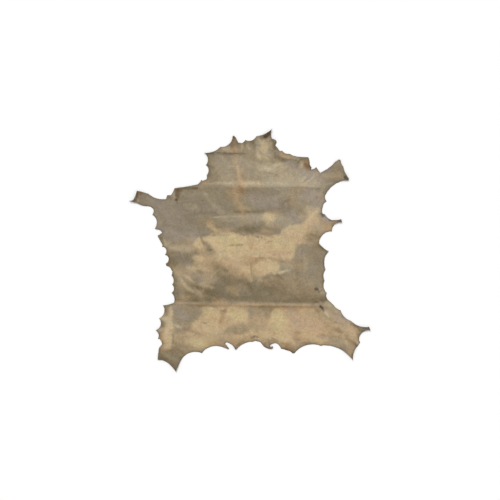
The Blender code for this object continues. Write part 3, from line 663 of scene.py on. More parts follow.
        (313, 88, 338, 92, 6.6, 0.35), (-335, -332, -328, -390, 6.2, 0.35),
        (-235, -319, -214, -327, 7.5, 0.4), (-177, -151, -158, -155, 7.5, 0.35),
        (130, 38, 155, 25, 8.3, 0.3), (-90, -312, -69, -312, 6.6, 0.2), (35, 391, 68, 378, 10, 0.3),
        (392, -356, 416, -365, 9.1, 0.4), (159, -298, 184, -315, 10, 0.35),
        (84, -315, 109, -332, 9.1, 0.3), (338, -228, 375, -259, 5, 0.5),
        (201, 125, 242, 154, 7.5, 0.45), (118, -34, 143, -39, 5.8, 0.4), (280, 171, 292, 158, 6.2, 0.4),
        (350, -239, 379, -264, 6.2, 0.55), (292, 233, 309, 225, 6.6, 0.3),
        (-331, -348, -322, -365, 5.4, 0.3), (284, -336, 309, -346, 10, 0.28),
        (-264, -373, -239, -381, 9.1, 0.25), (-223, -296, -194, -300, 6.6, 0.35),
        (-44, -319, -19, -327, 7.5, 0.35), (80, -323, 109, -336, 10, 0.32),
        (-239, -327, -206, -336, 9.1, 0.3), (-189, 13, -173, 6, 6.2, 0.35),
        (284, 320, 296, 310, 7.5, 0.28), (217, 64, 234, 53, 6.6, 0.33),
        (304, -286, 325, -294, 7.1, 0.33), (51, 129, 72, 119, 7.5, 0.33), (-119, 65, -98, 59, 6.6, 0.3),
        (147, -37, 167, -45, 7.1, 0.28), (-15, 175, 1, 166, 6.6, 0.28), (22, 65, 39, 59, 6.2, 0.38),
        (-476, 212, -463, 204, 5.8, 0.3), (-202, -293, -181, -297, 6.2, 0.28),
        (321, -354, 342, -361, 6.6, 0.28), (97, -373, 114, -381, 5.4, 0.3),
        (60, -265, 76, -273, 6.2, 0.28),
    ],
    "straw": [
        (-131, 50, -40, 29, 20.8, 0.55), (-98, 0, -57, -8, 16.6, 0.3), (109, 34, 172, 17, 23.2, 0.5),
        (66, 139, 80, 125, 13.3, 0.3), (109, -265, 134, -365, 21.6, 0.5),
        (93, -311, 109, -332, 12.5, 0.4), (-73, -261, -36, -269, 20.8, 0.55),
        (-189, -253, -140, -273, 16.6, 0.25), (259, -356, 300, -369, 16.6, 0.5),
        (-227, -381, -185, -390, 16.6, 0.45), (234, 88, 267, 77, 7.5, 0.25),
        (-140, -24, -90, -33, 12.5, 0.3), (-223, 25, -206, 17, 10.4, 0.3),
        (47, 453, 64, 424, 12.5, 0.25), (39, 399, 60, 382, 12.5, 0.2), (68, 378, 84, 361, 9.1, 0.3),
        (47, 337, 80, 334, 5.8, 0.25), (80, 334, 109, 351, 6.2, 0.25), (109, 351, 138, 366, 6.2, 0.5),
        (31, -8, 55, -14, 9.1, 0.4), (89, 13, 118, 5, 10, 0.35), (-71, -29, -62, -37, 5, 0.5),
        (89, -58, 118, -83, 12.5, 0.4), (387, -340, 400, -355, 7.5, 0.5),
        (234, -336, 255, -352, 10.8, 0.45), (319, -220, 336, -236, 7.5, 0.45),
        (78, -340, 89, -351, 5, 0.4), (-173, -257, -156, -340, 24.9, 0.4),
        (122, -253, 151, -303, 16.6, 0.35),
    ],
    "peach": [
        (99, 147, 105, 133, 6.6, 0.4), (230, 108, 275, 111, 12.5, 0.6), (147, 59, 217, 42, 16.6, 0.5),
        (51, 0, 167, -16, 16.6, 0.5), (192, -282, 275, -323, 33.2, 0.6),
        (192, -240, 259, -249, 10.4, 0.6), (250, -344, 354, -348, 20.8, 0.5),
        (396, -332, 437, -336, 16.6, 0.75), (367, -298, 416, -315, 16.6, 0.4),
        (-185, -282, -102, -298, 20.8, 0.4), (-235, -323, -144, -340, 24.9, 0.4),
        (-82, -33, -28, -54, 24.9, 0.3), (-106, -352, -40, -359, 10.8, 0.35),
        (-40, 266, -32, 274, 12.5, 0.3), (-322, -78, -289, -107, 12.5, 0.3),
        (-36, 287, -15, 262, 12.5, 0.5), (408, -398, 429, -439, 12.5, 0.3),
        (383, -348, 450, -381, 14.1, 0.35), (72, -8, 143, -19, 14.1, 0.55),
        (151, 17, 169, -29, 12.5, 0.5), (192, 42, 221, 34, 10.8, 0.5), (-98, -41, -61, -58, 16.6, 0.45),
        (64, -377, 74, -398, 6.6, 0.5), (151, -249, 197, -273, 14.1, 0.4),
        (-61, 415, -32, 283, 14.9, 0.3), (-65, 266, -19, 150, 16.6, 0.3),
        (-73, 407, -36, 274, 16.6, 0.2), (84, 108, 126, 92, 12.5, 0.3),
        (159, -340, 209, -381, 16.6, 0.3), (211, 370, 217, 341, 5, 0.4), (79, 454, 90, 436, 8.3, 0.5),
        (-15, -340, 51, -356, 12.5, 0.3), (84, -340, 151, -356, 20.8, 0.25),
        (167, -332, 284, -348, 24.9, 0.2), (-326, -231, -248, -233, 6.6, 0.4),
        (-126, -240, -106, -247, 8.3, 0.4), (159, -315, 292, -373, 33.2, 0.2),
        (18, 81, 47, 77, 6.6, 0.3), (68, 81, 93, 77, 6.6, 0.4), (-115, 424, -40, 413, 7.5, 0.3),
        (230, 34, 255, 25, 8.3, 0.35), (-310, -234, -272, -236, 5.4, 0.4),
        (-281, -234, -239, -238, 5.4, 0.4), (-40, 303, -23, 295, 6.6, 0.3),
        (47, -124, 64, -132, 5.8, 0.35), (138, 42, 155, 25, 10, 0.2), (392, -356, 408, -366, 6.2, 0.45),
        (238, 93, 263, 82, 10, 0.3), (396, -354, 411, -365, 6.6, 0.45),
        (-94, -307, -77, -323, 9.1, 0.3),
    ],
    "tan": [
        (-170, 114, -154, 100, 8.3, 0.5), (-148, 79, -57, 85, 8.3, 0.4), (317, 93, 329, 89, 9.1, 0.7),
        (329, 111, 358, 112, 7.5, 0.6), (-48, 258, -36, 158, 14.1, 0.35),
        (-194, 278, -173, 281, 8.3, 0.6), (-3, -33, 47, -37, 10, 0.7), (10, -44, 47, -47, 7.5, 0.5),
        (47, -39, 72, -48, 5.8, 0.6), (72, -29, 122, -52, 5.4, 0.55), (-177, -386, -98, -377, 10, 0.6),
        (-297, -207, -239, -195, 12.5, 0.35), (134, 399, 159, 386, 8.3, 0.4),
        (-115, 411, -57, 415, 8.3, 0.3), (-339, -49, -322, -58, 10, 0.3),
        (325, -323, 375, -344, 16.6, 0.3), (-90, -390, -40, -381, 12.5, 0.5),
        (209, -361, 259, -377, 12.5, 0.3), (-277, -221, -181, -224, 5, 0.4),
        (-272, -307, -252, -319, 9.1, 0.5), (-117, -261, -116, -319, 4.2, 0.35),
        (-148, -211, -98, -232, 12.5, 0.5), (10, -352, 51, -361, 12.5, 0.2),
        (55, 83, 93, 63, 12.5, 0.35), (-36, 175, -28, 129, 7.5, 0.4),
        (-119, -253, -106, -311, 6.6, 0.4), (20, 42, 10, 23, 5, 0.45), (10, 23, 7, 5, 4.2, 0.35),
        (1, 9, 35, 2, 3.7, 0.3), (35, 2, 68, 10, 3.7, 0.3), (3, -49, 5, -91, 4.2, 0.5),
        (-48, -53, 10, -55, 6.2, 0.6), (64, 29, 93, 37, 4.2, 0.75), (89, 29, 90, 9, 3.3, 0.4),
        # The long level stroke at y -236 to -242 on this line, and the one at y -240 to -249 further
        # down, paint shadow under the rump fold.
        (143, 28, 172, 26, 3.3, 0.4), (412, -390, 429, -444, 12.5, 0.4), (1, -236, 300, -242, 5.4, 0.4),
        (-11, 67, 26, 0, 13.3, 0.25), (-15, -33, 26, -99, 14.9, 0.35),
        (-148, -215, -106, -244, 12.5, 0.3), (-82, -91, -7, -107, 16.6, 0.35),
        (-277, -298, -231, -332, 12.5, 0.35), (317, 308, 375, 303, 12.5, 0.4),
        (350, 332, 367, 316, 8.3, 0.25), (126, 409, 143, 396, 5, 0.5), (76, -10, 138, -19, 8.3, 0.3),
        (84, -29, 126, -45, 8.3, 0.3), (-177, -261, -148, -282, 12.5, 0.3),
        (26, -257, 80, -282, 16.6, 0.35), (-297, -323, -264, -330, 5.8, 0.45),
        (-140, -195, -98, -215, 10.8, 0.35), (143, -41, 167, -62, 8.3, 0.35),
        (1, -240, 93, -249, 8.3, 0.25), (76, 161, 122, 156, 7.5, 0.4), (159, -49, 209, -74, 16.6, 0.25),
        (-86, -160, -57, -174, 14.1, 0.4), (130, -387, 167, -398, 9.1, 0.4),
        (68, -380, 79, -394, 7.5, 0.4), (234, -379, 271, -379, 7.1, 0.35),
        (-82, 241, -48, 183, 16.6, 0.3), (122, -392, 147, -395, 6.6, 0.35),
        (192, 262, 163, 183, 8.3, 0.2), (-156, -4, -131, -12, 8.3, 0.2), (-77, 360, -52, 355, 5.4, 0.3),
    ],
    "rust_and_shade": [
        # Rust-brown patches; the long level strokes at y -222 to -243 paint the shadow line along the
        # rump fold.
        (-69, 457, -61, 411, 11.6, 0.6), (236, 363, 240, 341, 10, 0.85),
        (-304, 250, -285, 248, 6.6, 0.4), (-303, 249, -300, 216, 7.1, 0.45),
        (-461, 239, -449, 233, 7.9, 0.55), (-40, 258, -23, 241, 10.8, 0.4),
        (-40, 237, -32, 212, 7.5, 0.2), (-372, -419, -306, -416, 5.4, 0.6),
        (55, -377, 89, -398, 11.6, 0.16), (138, -394, 180, -419, 10.8, 0.6),
        (412, -365, 425, -390, 8.3, 0.35), (63, 71, 66, 42, 6.2, 0.28),
        (-264, -229, -152, -231, 4.6, 0.5), (1, -234, 209, -235, 4.6, 0.45),
        (134, -390, 184, -391, 6.6, 0.4), (-98, 16, -65, 20, 3.3, 0.35), (-69, 20, -26, 22, 4.6, 0.55),
        (-347, -45, -339, -62, 7.5, 0.5), (400, -356, 416, -377, 8.3, 0.5),
        (-200, 46, -189, 27, 5, 0.5), (-189, 27, -169, 6, 5.8, 0.45), (338, 337, 363, 320, 6.6, 0.35),
        (367, 357, 387, 308, 4.6, 0.35), (-248, -229, -144, -231, 5.8, 0.35),
        (-115, -253, -98, -255, 5.8, 0.45), (350, -327, 379, -332, 4.2, 0.4),
        (296, -351, 313, -354, 4.2, 0.45), (421, -373, 431, -386, 4.6, 0.6),
        (138, -387, 151, -394, 5, 0.4), (172, 254, 155, 158, 4.2, 0.3), (201, 266, 184, 208, 3.7, 0.25),
        (-32, -234, 292, -235, 3.3, 0.45), (-148, -231, -32, -233, 3.3, 0.12),
        (-102, -253, -127, -315, 7.1, 0.25), (-336, -29, -331, -54, 6.6, 0.45),
        (-90, 20, -52, 22, 3.3, 0.4), (68, -145, 292, -199, 37.4, 0.16),
        (10, -240, 259, -243, 6.2, 0.28), (192, -340, 205, -342, 6.2, 0.35),
        (188, -365, 205, -373, 7.5, 0.35), (284, -359, 304, -355, 6.2, 0.2),
        (329, -327, 379, -332, 7.1, 0.3), (-301, -74, -272, -83, 10, 0.25),
        (10, -58, 26, -45, 8.3, 0.35), (26, -45, 51, -31, 5.8, 0.3), (51, -29, 101, -37, 4.6, 0.2),
        (101, -37, 130, -58, 4.6, 0.2), (-306, -332, -239, -334, 5.4, 0.4),
        (-264, -290, -252, -319, 8.3, 0.25), (-98, -244, -119, -261, 5.8, 0.3),
        (-115, -265, -131, -315, 5, 0.2), (-57, 266, -32, 233, 12.5, 0.2),
        (-86, 225, -73, 175, 8.3, 0.15), (-77, 258, -52, 241, 9.1, 0.28),
        (284, 291, 309, 280, 7.5, 0.2), (-347, 0, -318, -12, 9.1, 0.25), (35, 59, 40, 21, 6.2, 0.25),
        (-181, -222, -15, -223, 4.2, 0.3), (1, -224, 242, -225, 4.2, 0.22), (51, 463, 68, 459, 5, 0.3),
        (-11, 21, 6, 5, 8.3, 0.22), (280, 287, 304, 278, 6.6, 0.2), (-189, 280, -152, 277, 6.6, 0.13),
        (284, 75, 300, 67, 6.6, 0.3), (-73, -249, -57, -257, 9.1, 0.2),
        (217, 241, 238, 229, 10.8, 0.18), (-297, -62, -277, -74, 10, 0.13),
    ],
    "veil": [
        (-289, -257, -239, -273, 27, 0.75), (-306, -273, -297, -332, 16.6, 0.5),
        (-264, -294, -256, -313, 14.9, 0.7), (-239, -249, -206, -261, 12.5, 0.6),
        (-181, 17, -160, 0, 6.6, 0.4), (10, -244, 51, -257, 12.5, 0.3),
        (329, -232, 358, -257, 14.9, 0.25), (346, -365, 400, -386, 17.4, 0.45),
        (408, -348, 441, -386, 12.5, 0.5), (143, -58, 167, -70, 12.5, 0.15),
        (197, 21, 209, -49, 12.5, 0.3), (-160, 61, -127, 61, 3.3, 0.6), (-123, 63, -77, 62, 3.3, 0.5),
        (-314, -49, -248, -62, 12.5, 0.6), (213, 179, 234, 146, 12.5, 0.2),
        (-351, -229, -343, -273, 10, 0.75), (-361, -294, -355, -315, 7.9, 0.75),
        (-243, -240, -202, -273, 18.3, 0.45), (400, -398, 433, -431, 10.8, 0.2),
        (-181, 241, -73, 158, 33.2, 0.5), (1, 249, 51, 208, 20.8, 0.4), (10, -253, 76, -261, 16.6, 0.2),
        (-185, -95, -156, -120, 12.5, 0.3), (-90, -336, -11, -327, 14.9, 0.6),
        (6, -236, 6, -278, 10.8, 0.55), (68, -249, 72, -265, 14.1, 0.45),
        # The long level strokes at y -217 to -222 on this line and three lines down darken a band just
        # above the rump fold's crest.
        (-231, -103, -214, -128, 12.5, 0.4), (1, -217, 284, -220, 5.4, 0.35),
        (-181, 391, -115, 341, 20.8, 0.2), (159, 241, 217, 183, 20.8, 0.25),
        (-15, 374, 26, 357, 16.6, 0.15), (-135, 382, -102, 353, 16.6, 0.25),
        (-15, -219, 284, -222, 5, 0.5), (51, -178, 151, -195, 16.6, 0.3),
        (209, -178, 284, -190, 16.6, 0.2), (-181, -356, -115, -373, 16.6, 0.3),
        (-322, -340, -272, -398, 16.6, 0.3), (-347, 75, -297, 17, 20.8, 0.25),
        (-339, -74, -289, -166, 20.8, 0.2), (-36, 212, -15, 187, 10.8, 0.5),
        (-347, 5, -318, -8, 10, 0.35), (10, -307, 39, -323, 10.8, 0.4),
    ],
    "dusk_and_shade": [
        # Dark marks, and painted shade beside some wrinkles; (-165, 405, -57, 400) darkens the neck
        # fold's line, and the long level strokes at y -203 to -226 darken the rump fold near its crest.
        (-40, 81, 43, 80, 8.3, 0.35), (-326, -11, -289, -10, 5.4, 0.2),
        (-227, -10, -216, -14, 5.8, 0.3), (-218, -85, -204, -88, 5, 0.3),
        (-148, -70, -127, -72, 5.4, 0.12), (-102, -83, -94, -87, 5.8, 0.4),
        (-169, -170, -123, -190, 16.6, 0.45), (10, -323, 31, -336, 8.3, 0.3),
        (-306, 255, -248, 262, 4.6, 0.45), (-216, -155, -203, -160, 5.8, 0.6),
        (-248, -178, -231, -207, 8.3, 0.3), (-322, -431, -289, -456, 16.6, 0.4),
        (-7, -143, 4, -155, 6.2, 0.4), (65, -113, 74, -113, 4.6, 0.2),
        (118, -109, 134, -116, 7.5, 0.18), (-331, -49, -306, -52, 10, 0.4),
        (-260, -39, -235, -41, 5.8, 0.15), (-61, 160, -40, 158, 6.2, 0.6),
        (-15, 159, 26, 160, 4.6, 0.4), (14, -361, 31, -363, 5.8, 0.2), (300, -207, 317, -203, 6.6, 0.5),
        (-177, 0, -154, -1, 5, 0.35), (-345, -55, -339, -60, 5.4, 0.8),
        (-325, -66, -314, -124, 4.2, 0.6), (-312, -141, -316, -182, 4.2, 0.55),
        (-316, -182, -307, -211, 4.2, 0.55), (-336, -24, -332, -45, 3.7, 0.5),
        (292, 15, 317, 0, 4.2, 0.5), (303, -33, 309, -74, 3.3, 0.4), (302, -95, 304, -149, 3.3, 0.4),
        (-366, -294, -364, -315, 3.7, 0.5), (-353, -232, -346, -261, 3.7, 0.5),
        (-380, -338, -370, -365, 2.9, 0.45), (-362, -377, -360, -394, 3.3, 0.5),
        (419, -305, 454, -322, 4.2, 0.6), (-372, -446, -347, -451, 6.2, 0.6),
        (39, 322, 109, 315, 6.2, 0.22), (101, 305, 147, 326, 6.2, 0.28),
        (-57, 447, -36, 441, 3.7, 0.45), (-23, 449, -18, 428, 4.2, 0.4),
        (-297, 251, -293, 225, 5.8, 0.55), (122, 371, 192, 357, 6.2, 0.42),
        (194, 351, 216, 376, 5.4, 0.38), (119, 388, 143, 370, 6.2, 0.35),
        (130, 179, 151, 200, 7.5, 0.15), (-173, 353, -152, 341, 5.8, 0.25),
        (-281, 255, -206, 259, 4.6, 0.3), (259, 81, 284, 73, 4.2, 0.2), (-57, 159, 51, 159, 5.8, 0.15),
        (-15, -213, 292, -217, 5, 0.42), (43, -159, 80, -160, 11.6, 0.3),
        (-115, 332, -61, 334, 4.2, 0.15), (-140, 320, -133, 305, 5, 0.25),
        (-23, 334, 31, 331, 5.4, 0.18), (51, 372, 68, 374, 5.4, 0.22), (-11, 407, 22, 386, 12.5, 0.12),
        (224, 280, 242, 303, 3.3, 0.15), (-98, 241, -57, 183, 20.8, 0.08),
        (-69, 461, -72, 440, 4.2, 0.25), (209, 328, 201, 308, 5, 0.12), (-78, 449, -77, 415, 3.7, 0.32),
        (-165, 405, -57, 400, 4.2, 0.35), (68, -149, 209, -190, 33.2, 0.15),
        (209, -166, 284, -199, 24.9, 0.1), (143, -91, 209, -132, 24.9, 0.08),
        (321, -284, 375, -303, 6.2, 0.2), (270, -214, 284, -219, 5.4, 0.35),
        (43, -238, 93, -240, 9.1, 0.2), (-243, -52, -223, -64, 8.3, 0.35), (-71, 79, -40, 73, 8.3, 0.2),
        (-345, -12, -326, -19, 8.3, 0.2), (219, 280, 249, 303, 3.3, 0.15),
        (246, 280, 275, 302, 2.9, 0.12), (-181, -211, -148, -213, 6.6, 0.2),
        (-206, -224, -177, -225, 5.8, 0.18), (304, -211, 321, -218, 6.2, 0.2),
        (213, 241, 238, 233, 10, 0.16), (-306, 185, -272, 179, 9.1, 0.18),
        (-189, 284, -148, 280, 5.8, 0.18), (358, -332, 383, -337, 7.5, 0.18),
        (-239, -337, -189, -352, 4.6, 0.25), (-319, -332, -320, -410, 3.3, 0.1),
        (-202, -298, -177, -308, 3.3, 0.25), (-177, -311, -140, -317, 3.3, 0.2),
        (3, -49, 8, -107, 3.3, 0.28), (93, 454, 103, 440, 5.8, 0.25), (51, -225, 143, -226, 4.6, 0.16),
        (-181, -207, -140, -209, 5.8, 0.16), (184, -253, 201, -261, 9.1, 0.14),
        (-23, -149, -3, -166, 9.1, 0.18), (-343, -54, -326, -62, 7.5, 0.2),
        (358, -300, 383, -311, 7.5, 0.2), (-69, -388, -36, -392, 7.1, 0.2),
        (-169, -68, -144, -78, 8.3, 0.18), (-57, -168, -40, -180, 8.3, 0.18),
        (-194, -218, -169, -222, 5, 0.15), (-23, 148, 1, 143, 8.3, 0.16),
        (-202, -236, -181, -243, 7.5, 0.15), (448, -336, 444, -369, 5.8, 0.2),
        (-173, -205, -140, -209, 5.4, 0.14), (-69, 81, -36, 78, 7.5, 0.14),
        (-223, -124, -198, -132, 8.3, 0.16), (51, -222, 143, -225, 4.2, 0.14),
        (1, -220, 51, -221, 4.2, 0.14), (-152, 75, -127, 68, 7.1, 0.16),
        (246, -224, 292, -226, 5.4, 0.25), (-314, -203, -285, -210, 6.6, 0.25),
        (89, -247, 109, -257, 7.5, 0.2), (54, 160, 68, 156, 5.8, 0.22),
        (-23, -337, -3, -340, 6.2, 0.22), (217, 237, 242, 229, 8.3, 0.13),
        (375, 332, 392, 316, 8.3, 0.15), (143, -116, 167, -124, 10, 0.13),
        (-378, -423, -368, -444, 6.6, 0.14), (-177, 68, -148, 64, 6.6, 0.18),
        (-11, 65, 10, 61, 6.2, 0.2), (-119, -347, -86, -350, 6.6, 0.16),
        (93, -120, 114, -128, 7.5, 0.18), (-106, -33, -73, -41, 9.1, 0.08),
        (-331, 175, -301, 166, 8.3, 0.12), (-252, -337, -202, -348, 5, 0.18),
        (-165, 5, -148, -8, 6.6, 0.18), (165, 216, 157, 162, 5.4, 0.2),
        (-297, -390, -281, -398, 6.6, 0.2), (-472, 237, -455, 229, 5.8, 0.2),
        (-61, -171, -44, -176, 6.2, 0.2), (-135, 144, -111, 139, 8.3, 0.18),
        (-293, 154, -268, 146, 9.1, 0.12), (14, -124, 31, -132, 9.1, 0.12),
        (-322, -6, -293, -18, 9.1, 0.26), (-272, -51, -248, -58, 7.5, 0.24),
        (296, 302, 313, 295, 6.2, 0.25), (-202, -213, -169, -218, 6.2, 0.2),
        (-339, -54, -314, -70, 10, 0.15), (-376, -427, -347, -444, 10, 0.14),
        (-73, 359, -57, 355, 5.8, 0.18), (-152, 278, -127, 270, 7.5, 0.2),
        (-44, -137, -28, -147, 7.5, 0.16), (22, -54, 39, -62, 6.2, 0.2), (-61, 73, -44, 68, 5.8, 0.18),
        (-144, 123, -119, 118, 6.2, 0.18), (51, -383, 68, -390, 5, 0.18),
        (-160, -91, -140, -99, 7.5, 0.18), (267, -221, 284, -226, 6.2, 0.18),
        (-185, 270, -160, 262, 6.6, 0.12), (-148, 391, -127, 382, 8.3, 0.12),
        (-239, 83, -218, 75, 8.3, 0.13), (416, -410, 433, -419, 10, 0.16),
        (172, -112, 188, -120, 9.1, 0.13), (-347, -387, -331, -402, 8.3, 0.13),
        (-306, 187, -289, 175, 10, 0.13),
    ],
    "mauve": [
        (300, 146, 325, 121, 10.8, 0.9), (217, 324, 250, 299, 14.1, 0.5),
        (250, 316, 292, 291, 16.6, 0.35), (205, -12, 221, -24, 8.3, 0.3), (155, 361, 201, 353, 10, 0.5),
        (167, 154, 201, 129, 16.6, 0.45), (1, 208, 147, 187, 24.9, 0.3),
        (-331, 117, -248, 75, 33.2, 0.15), (-414, 208, -331, 183, 16.6, 0.15),
        (221, 328, 263, 316, 8.3, 0.35), (10, 137, 51, 137, 8.3, 0.3), (230, 225, 275, 183, 20.8, 0.35),
        (-239, 42, -223, 67, 16.6, 0.3), (-372, 83, -289, 54, 20.8, 0.45),
        (-185, 183, -102, 158, 16.6, 0.15), (-414, 187, -206, 146, 33.2, 0.1),
        (392, -273, 416, -294, 10.8, 0.4), (10, 208, 60, 183, 12.5, 0.2),
        (363, -265, 416, -290, 13.3, 0.25), (242, 249, 292, 208, 20.8, 0.4),
        (300, 142, 325, 121, 9.1, 0.5), (-310, -244, -264, -282, 16.6, 0.45),
        (350, -269, 392, -307, 13.3, 0.3), (151, 357, 201, 341, 12.5, 0.3),
        (167, -240, 197, -307, 16.6, 0.25), (292, -356, 309, -361, 8.3, 0.4),
        (-239, -107, -198, -132, 13.3, 0.22), (-156, -153, -106, -182, 16.6, 0.1),
        (-40, -166, 10, -195, 16.6, 0.08), (300, 308, 350, 341, 9.1, 0.3),
        (275, -224, 296, -221, 5.8, 0.35), (284, 291, 309, 281, 7.5, 0.3),
        (-148, 386, -98, 357, 16.6, 0.18), (-301, -29, -256, -49, 18.7, 0.2),
    ],
    "bone_and_highlight": [
        # Pale streaks, and painted highlight on the crests of some wrinkles; (10, -223, 284, -225)
        # paints highlight along the rump fold's crest.
        (123, -94, 143, -89, 5.4, 0.8), (143, -88, 167, -83, 4.2, 0.55), (97, -98, 114, -93, 3.3, 0.5),
        (-283, -122, -262, -155, 4.6, 0.2), (286, 172, 256, 135, 4.6, 0.5),
        (310, -254, 319, -263, 3.3, 0.6), (319, -263, 328, -276, 4.6, 0.7),
        (440, -376, 449, -386, 3.3, 0.6), (-152, 136, -57, 139, 3.3, 0.3), (55, 345, 80, 337, 3.7, 0.4),
        (-3, -49, 1, -107, 3.7, 0.3), (26, -365, 35, -367, 3.7, 0.7), (396, -377, 408, -386, 4.2, 0.4),
        (-325, -232, -323, -282, 3.7, 0.35), (-347, -327, -339, -381, 6.6, 0.25),
        (-314, -309, -285, -321, 4.6, 0.5), (326, -213, 335, -232, 5.4, 0.45),
        (396, -284, 421, -300, 4.6, 0.4), (68, 142, 89, 129, 10.8, 0.35), (50, 339, 89, 337, 5, 0.68),
        (87, 339, 113, 353, 4.6, 0.45), (89, 338, 109, 360, 5, 0.4), (-36, 278, 51, 276, 6.2, 0.3),
        (101, 278, 167, 274, 5.8, 0.2), (10, -223, 284, -225, 3.3, 0.25),
        (-189, 44, -152, 45, 4.2, 0.35), (143, 389, 167, 382, 4.2, 0.35),
        (211, 283, 234, 310, 4.2, 0.4), (234, 278, 267, 302, 4.2, 0.4),
        (130, 316, 172, 299, 14.1, 0.22), (68, 280, 167, 276, 8.3, 0.25), (32, 399, 39, 392, 5.8, 0.35),
        (55, 403, 74, 396, 6.6, 0.25), (58, 444, 72, 439, 6.6, 0.3), (333, -332, 425, -356, 16.6, 0.12),
        (-106, 420, -86, 424, 5, 0.3), (-33, 438, -33, 415, 3.3, 0.35), (-12, 436, -3, 422, 5, 0.3),
        (-185, 277, -57, 278, 5, 0.2), (-119, 417, -86, 425, 5, 0.22), (-61, 430, -57, 411, 4.6, 0.25),
        (211, 349, 223, 370, 4.2, 0.35), (221, 287, 242, 310, 4.6, 0.22),
        (333, -312, 392, -313, 5, 0.3), (192, 268, 313, 260, 3.3, 0.3), (205, 283, 234, 308, 3.7, 0.3),
        (230, 278, 267, 305, 3.7, 0.3), (259, 278, 284, 299, 3.3, 0.25),
        (-368, -282, -343, -288, 8.3, 0.45), (-360, -282, -331, -290, 7.5, 0.45),
        (-125, -239, -112, -243, 5.8, 0.25), (80, 332, 97, 332, 6.2, 0.3),
        (126, -391, 143, -395, 5.8, 0.3), (-351, -280, -331, -285, 7.5, 0.45),
        (446, -381, 450, -386, 3.7, 0.4), (130, 38, 159, 25, 9.1, 0.3), (234, -378, 275, -379, 5, 0.25),
        (267, 312, 292, 320, 6.6, 0.22), (321, 88, 338, 92, 5, 0.25), (76, 335, 101, 339, 5.8, 0.5),
        (300, 131, 325, 127, 5, 0.3), (-243, -409, -218, -410, 4.6, 0.25),
        (317, 272, 342, 277, 4.6, 0.25), (188, -392, 205, -394, 4.6, 0.3),
        (-376, -332, -368, -336, 4.2, 0.35), (172, 386, 197, 378, 8.3, 0.12),
        (358, -251, 375, -264, 5, 0.3), (-165, 169, -140, 162, 6.6, 0.14),
        (-331, -348, -322, -365, 4.6, 0.25), (-351, -274, -331, -280, 5.8, 0.28),
        (76, 332, 105, 331, 6.6, 0.22), (-119, 254, -94, 245, 8.3, 0.13), (138, 42, 155, 25, 8.3, 0.13),
    ],
    "umber": [
        (68, 474, 91, 496, 10, 0.9), (47, 466, 60, 469, 4.6, 0.35), (93, 436, 105, 420, 5, 0.4),
        (-67, 471, -65, 465, 5.8, 0.5), (248, 360, 252, 341, 4.2, 0.75),
        (232, 356, 240, 347, 5.8, 0.35), (396, 301, 408, 295, 8.3, 0.8), (387, 324, 396, 308, 4.2, 0.3),
        (-306, 209, -302, 208, 5, 0.85), (-302, 197, -299, 193, 3.7, 0.45),
        (-307, 251, -306, 220, 2.9, 0.4), (-501, 204, -472, 208, 6.6, 0.6),
        (-465, 240, -469, 216, 4.6, 0.8), (-457, 241, -451, 237, 3.7, 0.4),
        (-235, 257, -218, 257, 4.6, 0.4), (-339, 223, -326, 212, 3.7, 0.4),
        (328, 125, 377, 127, 3.7, 0.9), (367, 123, 379, 118, 4.2, 0.6), (299, 146, 304, 137, 2.9, 0.5),
        (275, -161, 280, -163, 6.6, 0.75), (284, -166, 288, -174, 3.3, 0.5),
        (271, -215, 282, -215, 3.7, 0.45), (294, -234, 303, -242, 5.4, 0.75),
        (462, -321, 495, -322, 3.3, 0.7), (494, -322, 499, -332, 3.7, 0.6),
        (458, -336, 475, -334, 3.7, 0.4), (8, -364, 21, -357, 3.7, 0.5), (21, -357, 37, -362, 3.7, 0.3),
        (80, -363, 82, -402, 2.5, 0.28), (84, -362, 122, -377, 2.9, 0.45),
        (55, -366, 118, -380, 2.5, 0.4), (-318, -481, -306, -502, 9.1, 0.35),
        # The level strokes along y 398 to 405 on this line and the next two, and (-57, 401, -7, 400)
        # further down, draw the dark line along the neck fold.
        (-319, -344, -317, -386, 3.3, 0.2), (-187, 400, -144, 405, 4.6, 0.75),
        (-144, 404, -77, 400, 3.7, 0.42), (-86, 400, -48, 400, 4.2, 0.5),
        (-48, 400, -19, 398, 4.2, 0.25), (105, 405, 109, 374, 2.9, 0.3),
        (450, -317, 454, -332, 4.6, 0.35), (425, -435, 427, -452, 5.8, 0.5),
        (49, 57, 50, 48, 3.3, 0.45), (32, 54, 37, 53, 2.9, 0.35), (76, 37, 90, 37, 2.5, 0.35),
        (101, -340, 104, -346, 3.3, 0.35), (300, -240, 307, -253, 3.3, 0.6),
        (51, -396, 84, -406, 3.3, 0.5), (130, -408, 167, -415, 3.3, 0.5),
        (176, -423, 188, -423, 4.2, 0.4), (-59, -406, -52, -409, 3.3, 0.4),
        (-303, 251, -285, 249, 6.2, 0.4), (-302, 249, -301, 216, 5.8, 0.4),
        (294, 152, 309, 142, 3.7, 0.6), (-52, -395, -40, -387, 4.6, 0.35), (-77, 22, -32, 24, 2.5, 0.1),
        (466, -325, 495, -326, 5, 0.18), (436, -391, 444, -398, 3.7, 0.3),
        (-57, 401, -7, 400, 2.9, 0.2), (80, 490, 94, 499, 5.8, 0.5), (-368, 50, -357, 29, 5.8, 0.36),
        (-467, 241, -451, 233, 6.2, 0.15), (-370, -340, -364, -365, 5, 0.16),
        (-281, -322, -248, -333, 5.4, 0.18), (-194, -301, -173, -303, 2.9, 0.28),
        (367, -334, 383, -342, 5, 0.22), (18, 444, 28, 436, 5, 0.2),
    ],
}
STRAY = [(28.0, 4.5), (12.0, 3.0)]   # waves and sizes of the wandering
STRAY_FROM = 4.0         # a stain of this reach doesn't wander,
STRAY_FULL = 20.0        # and one of this reach wanders in full
SLIM_FROM = 3.0          # a stain this many reaches long doesn't taper,
SLIM_FULL = 8.0          # and one of this many is narrower at its ends by this share
TAPER = 0.7


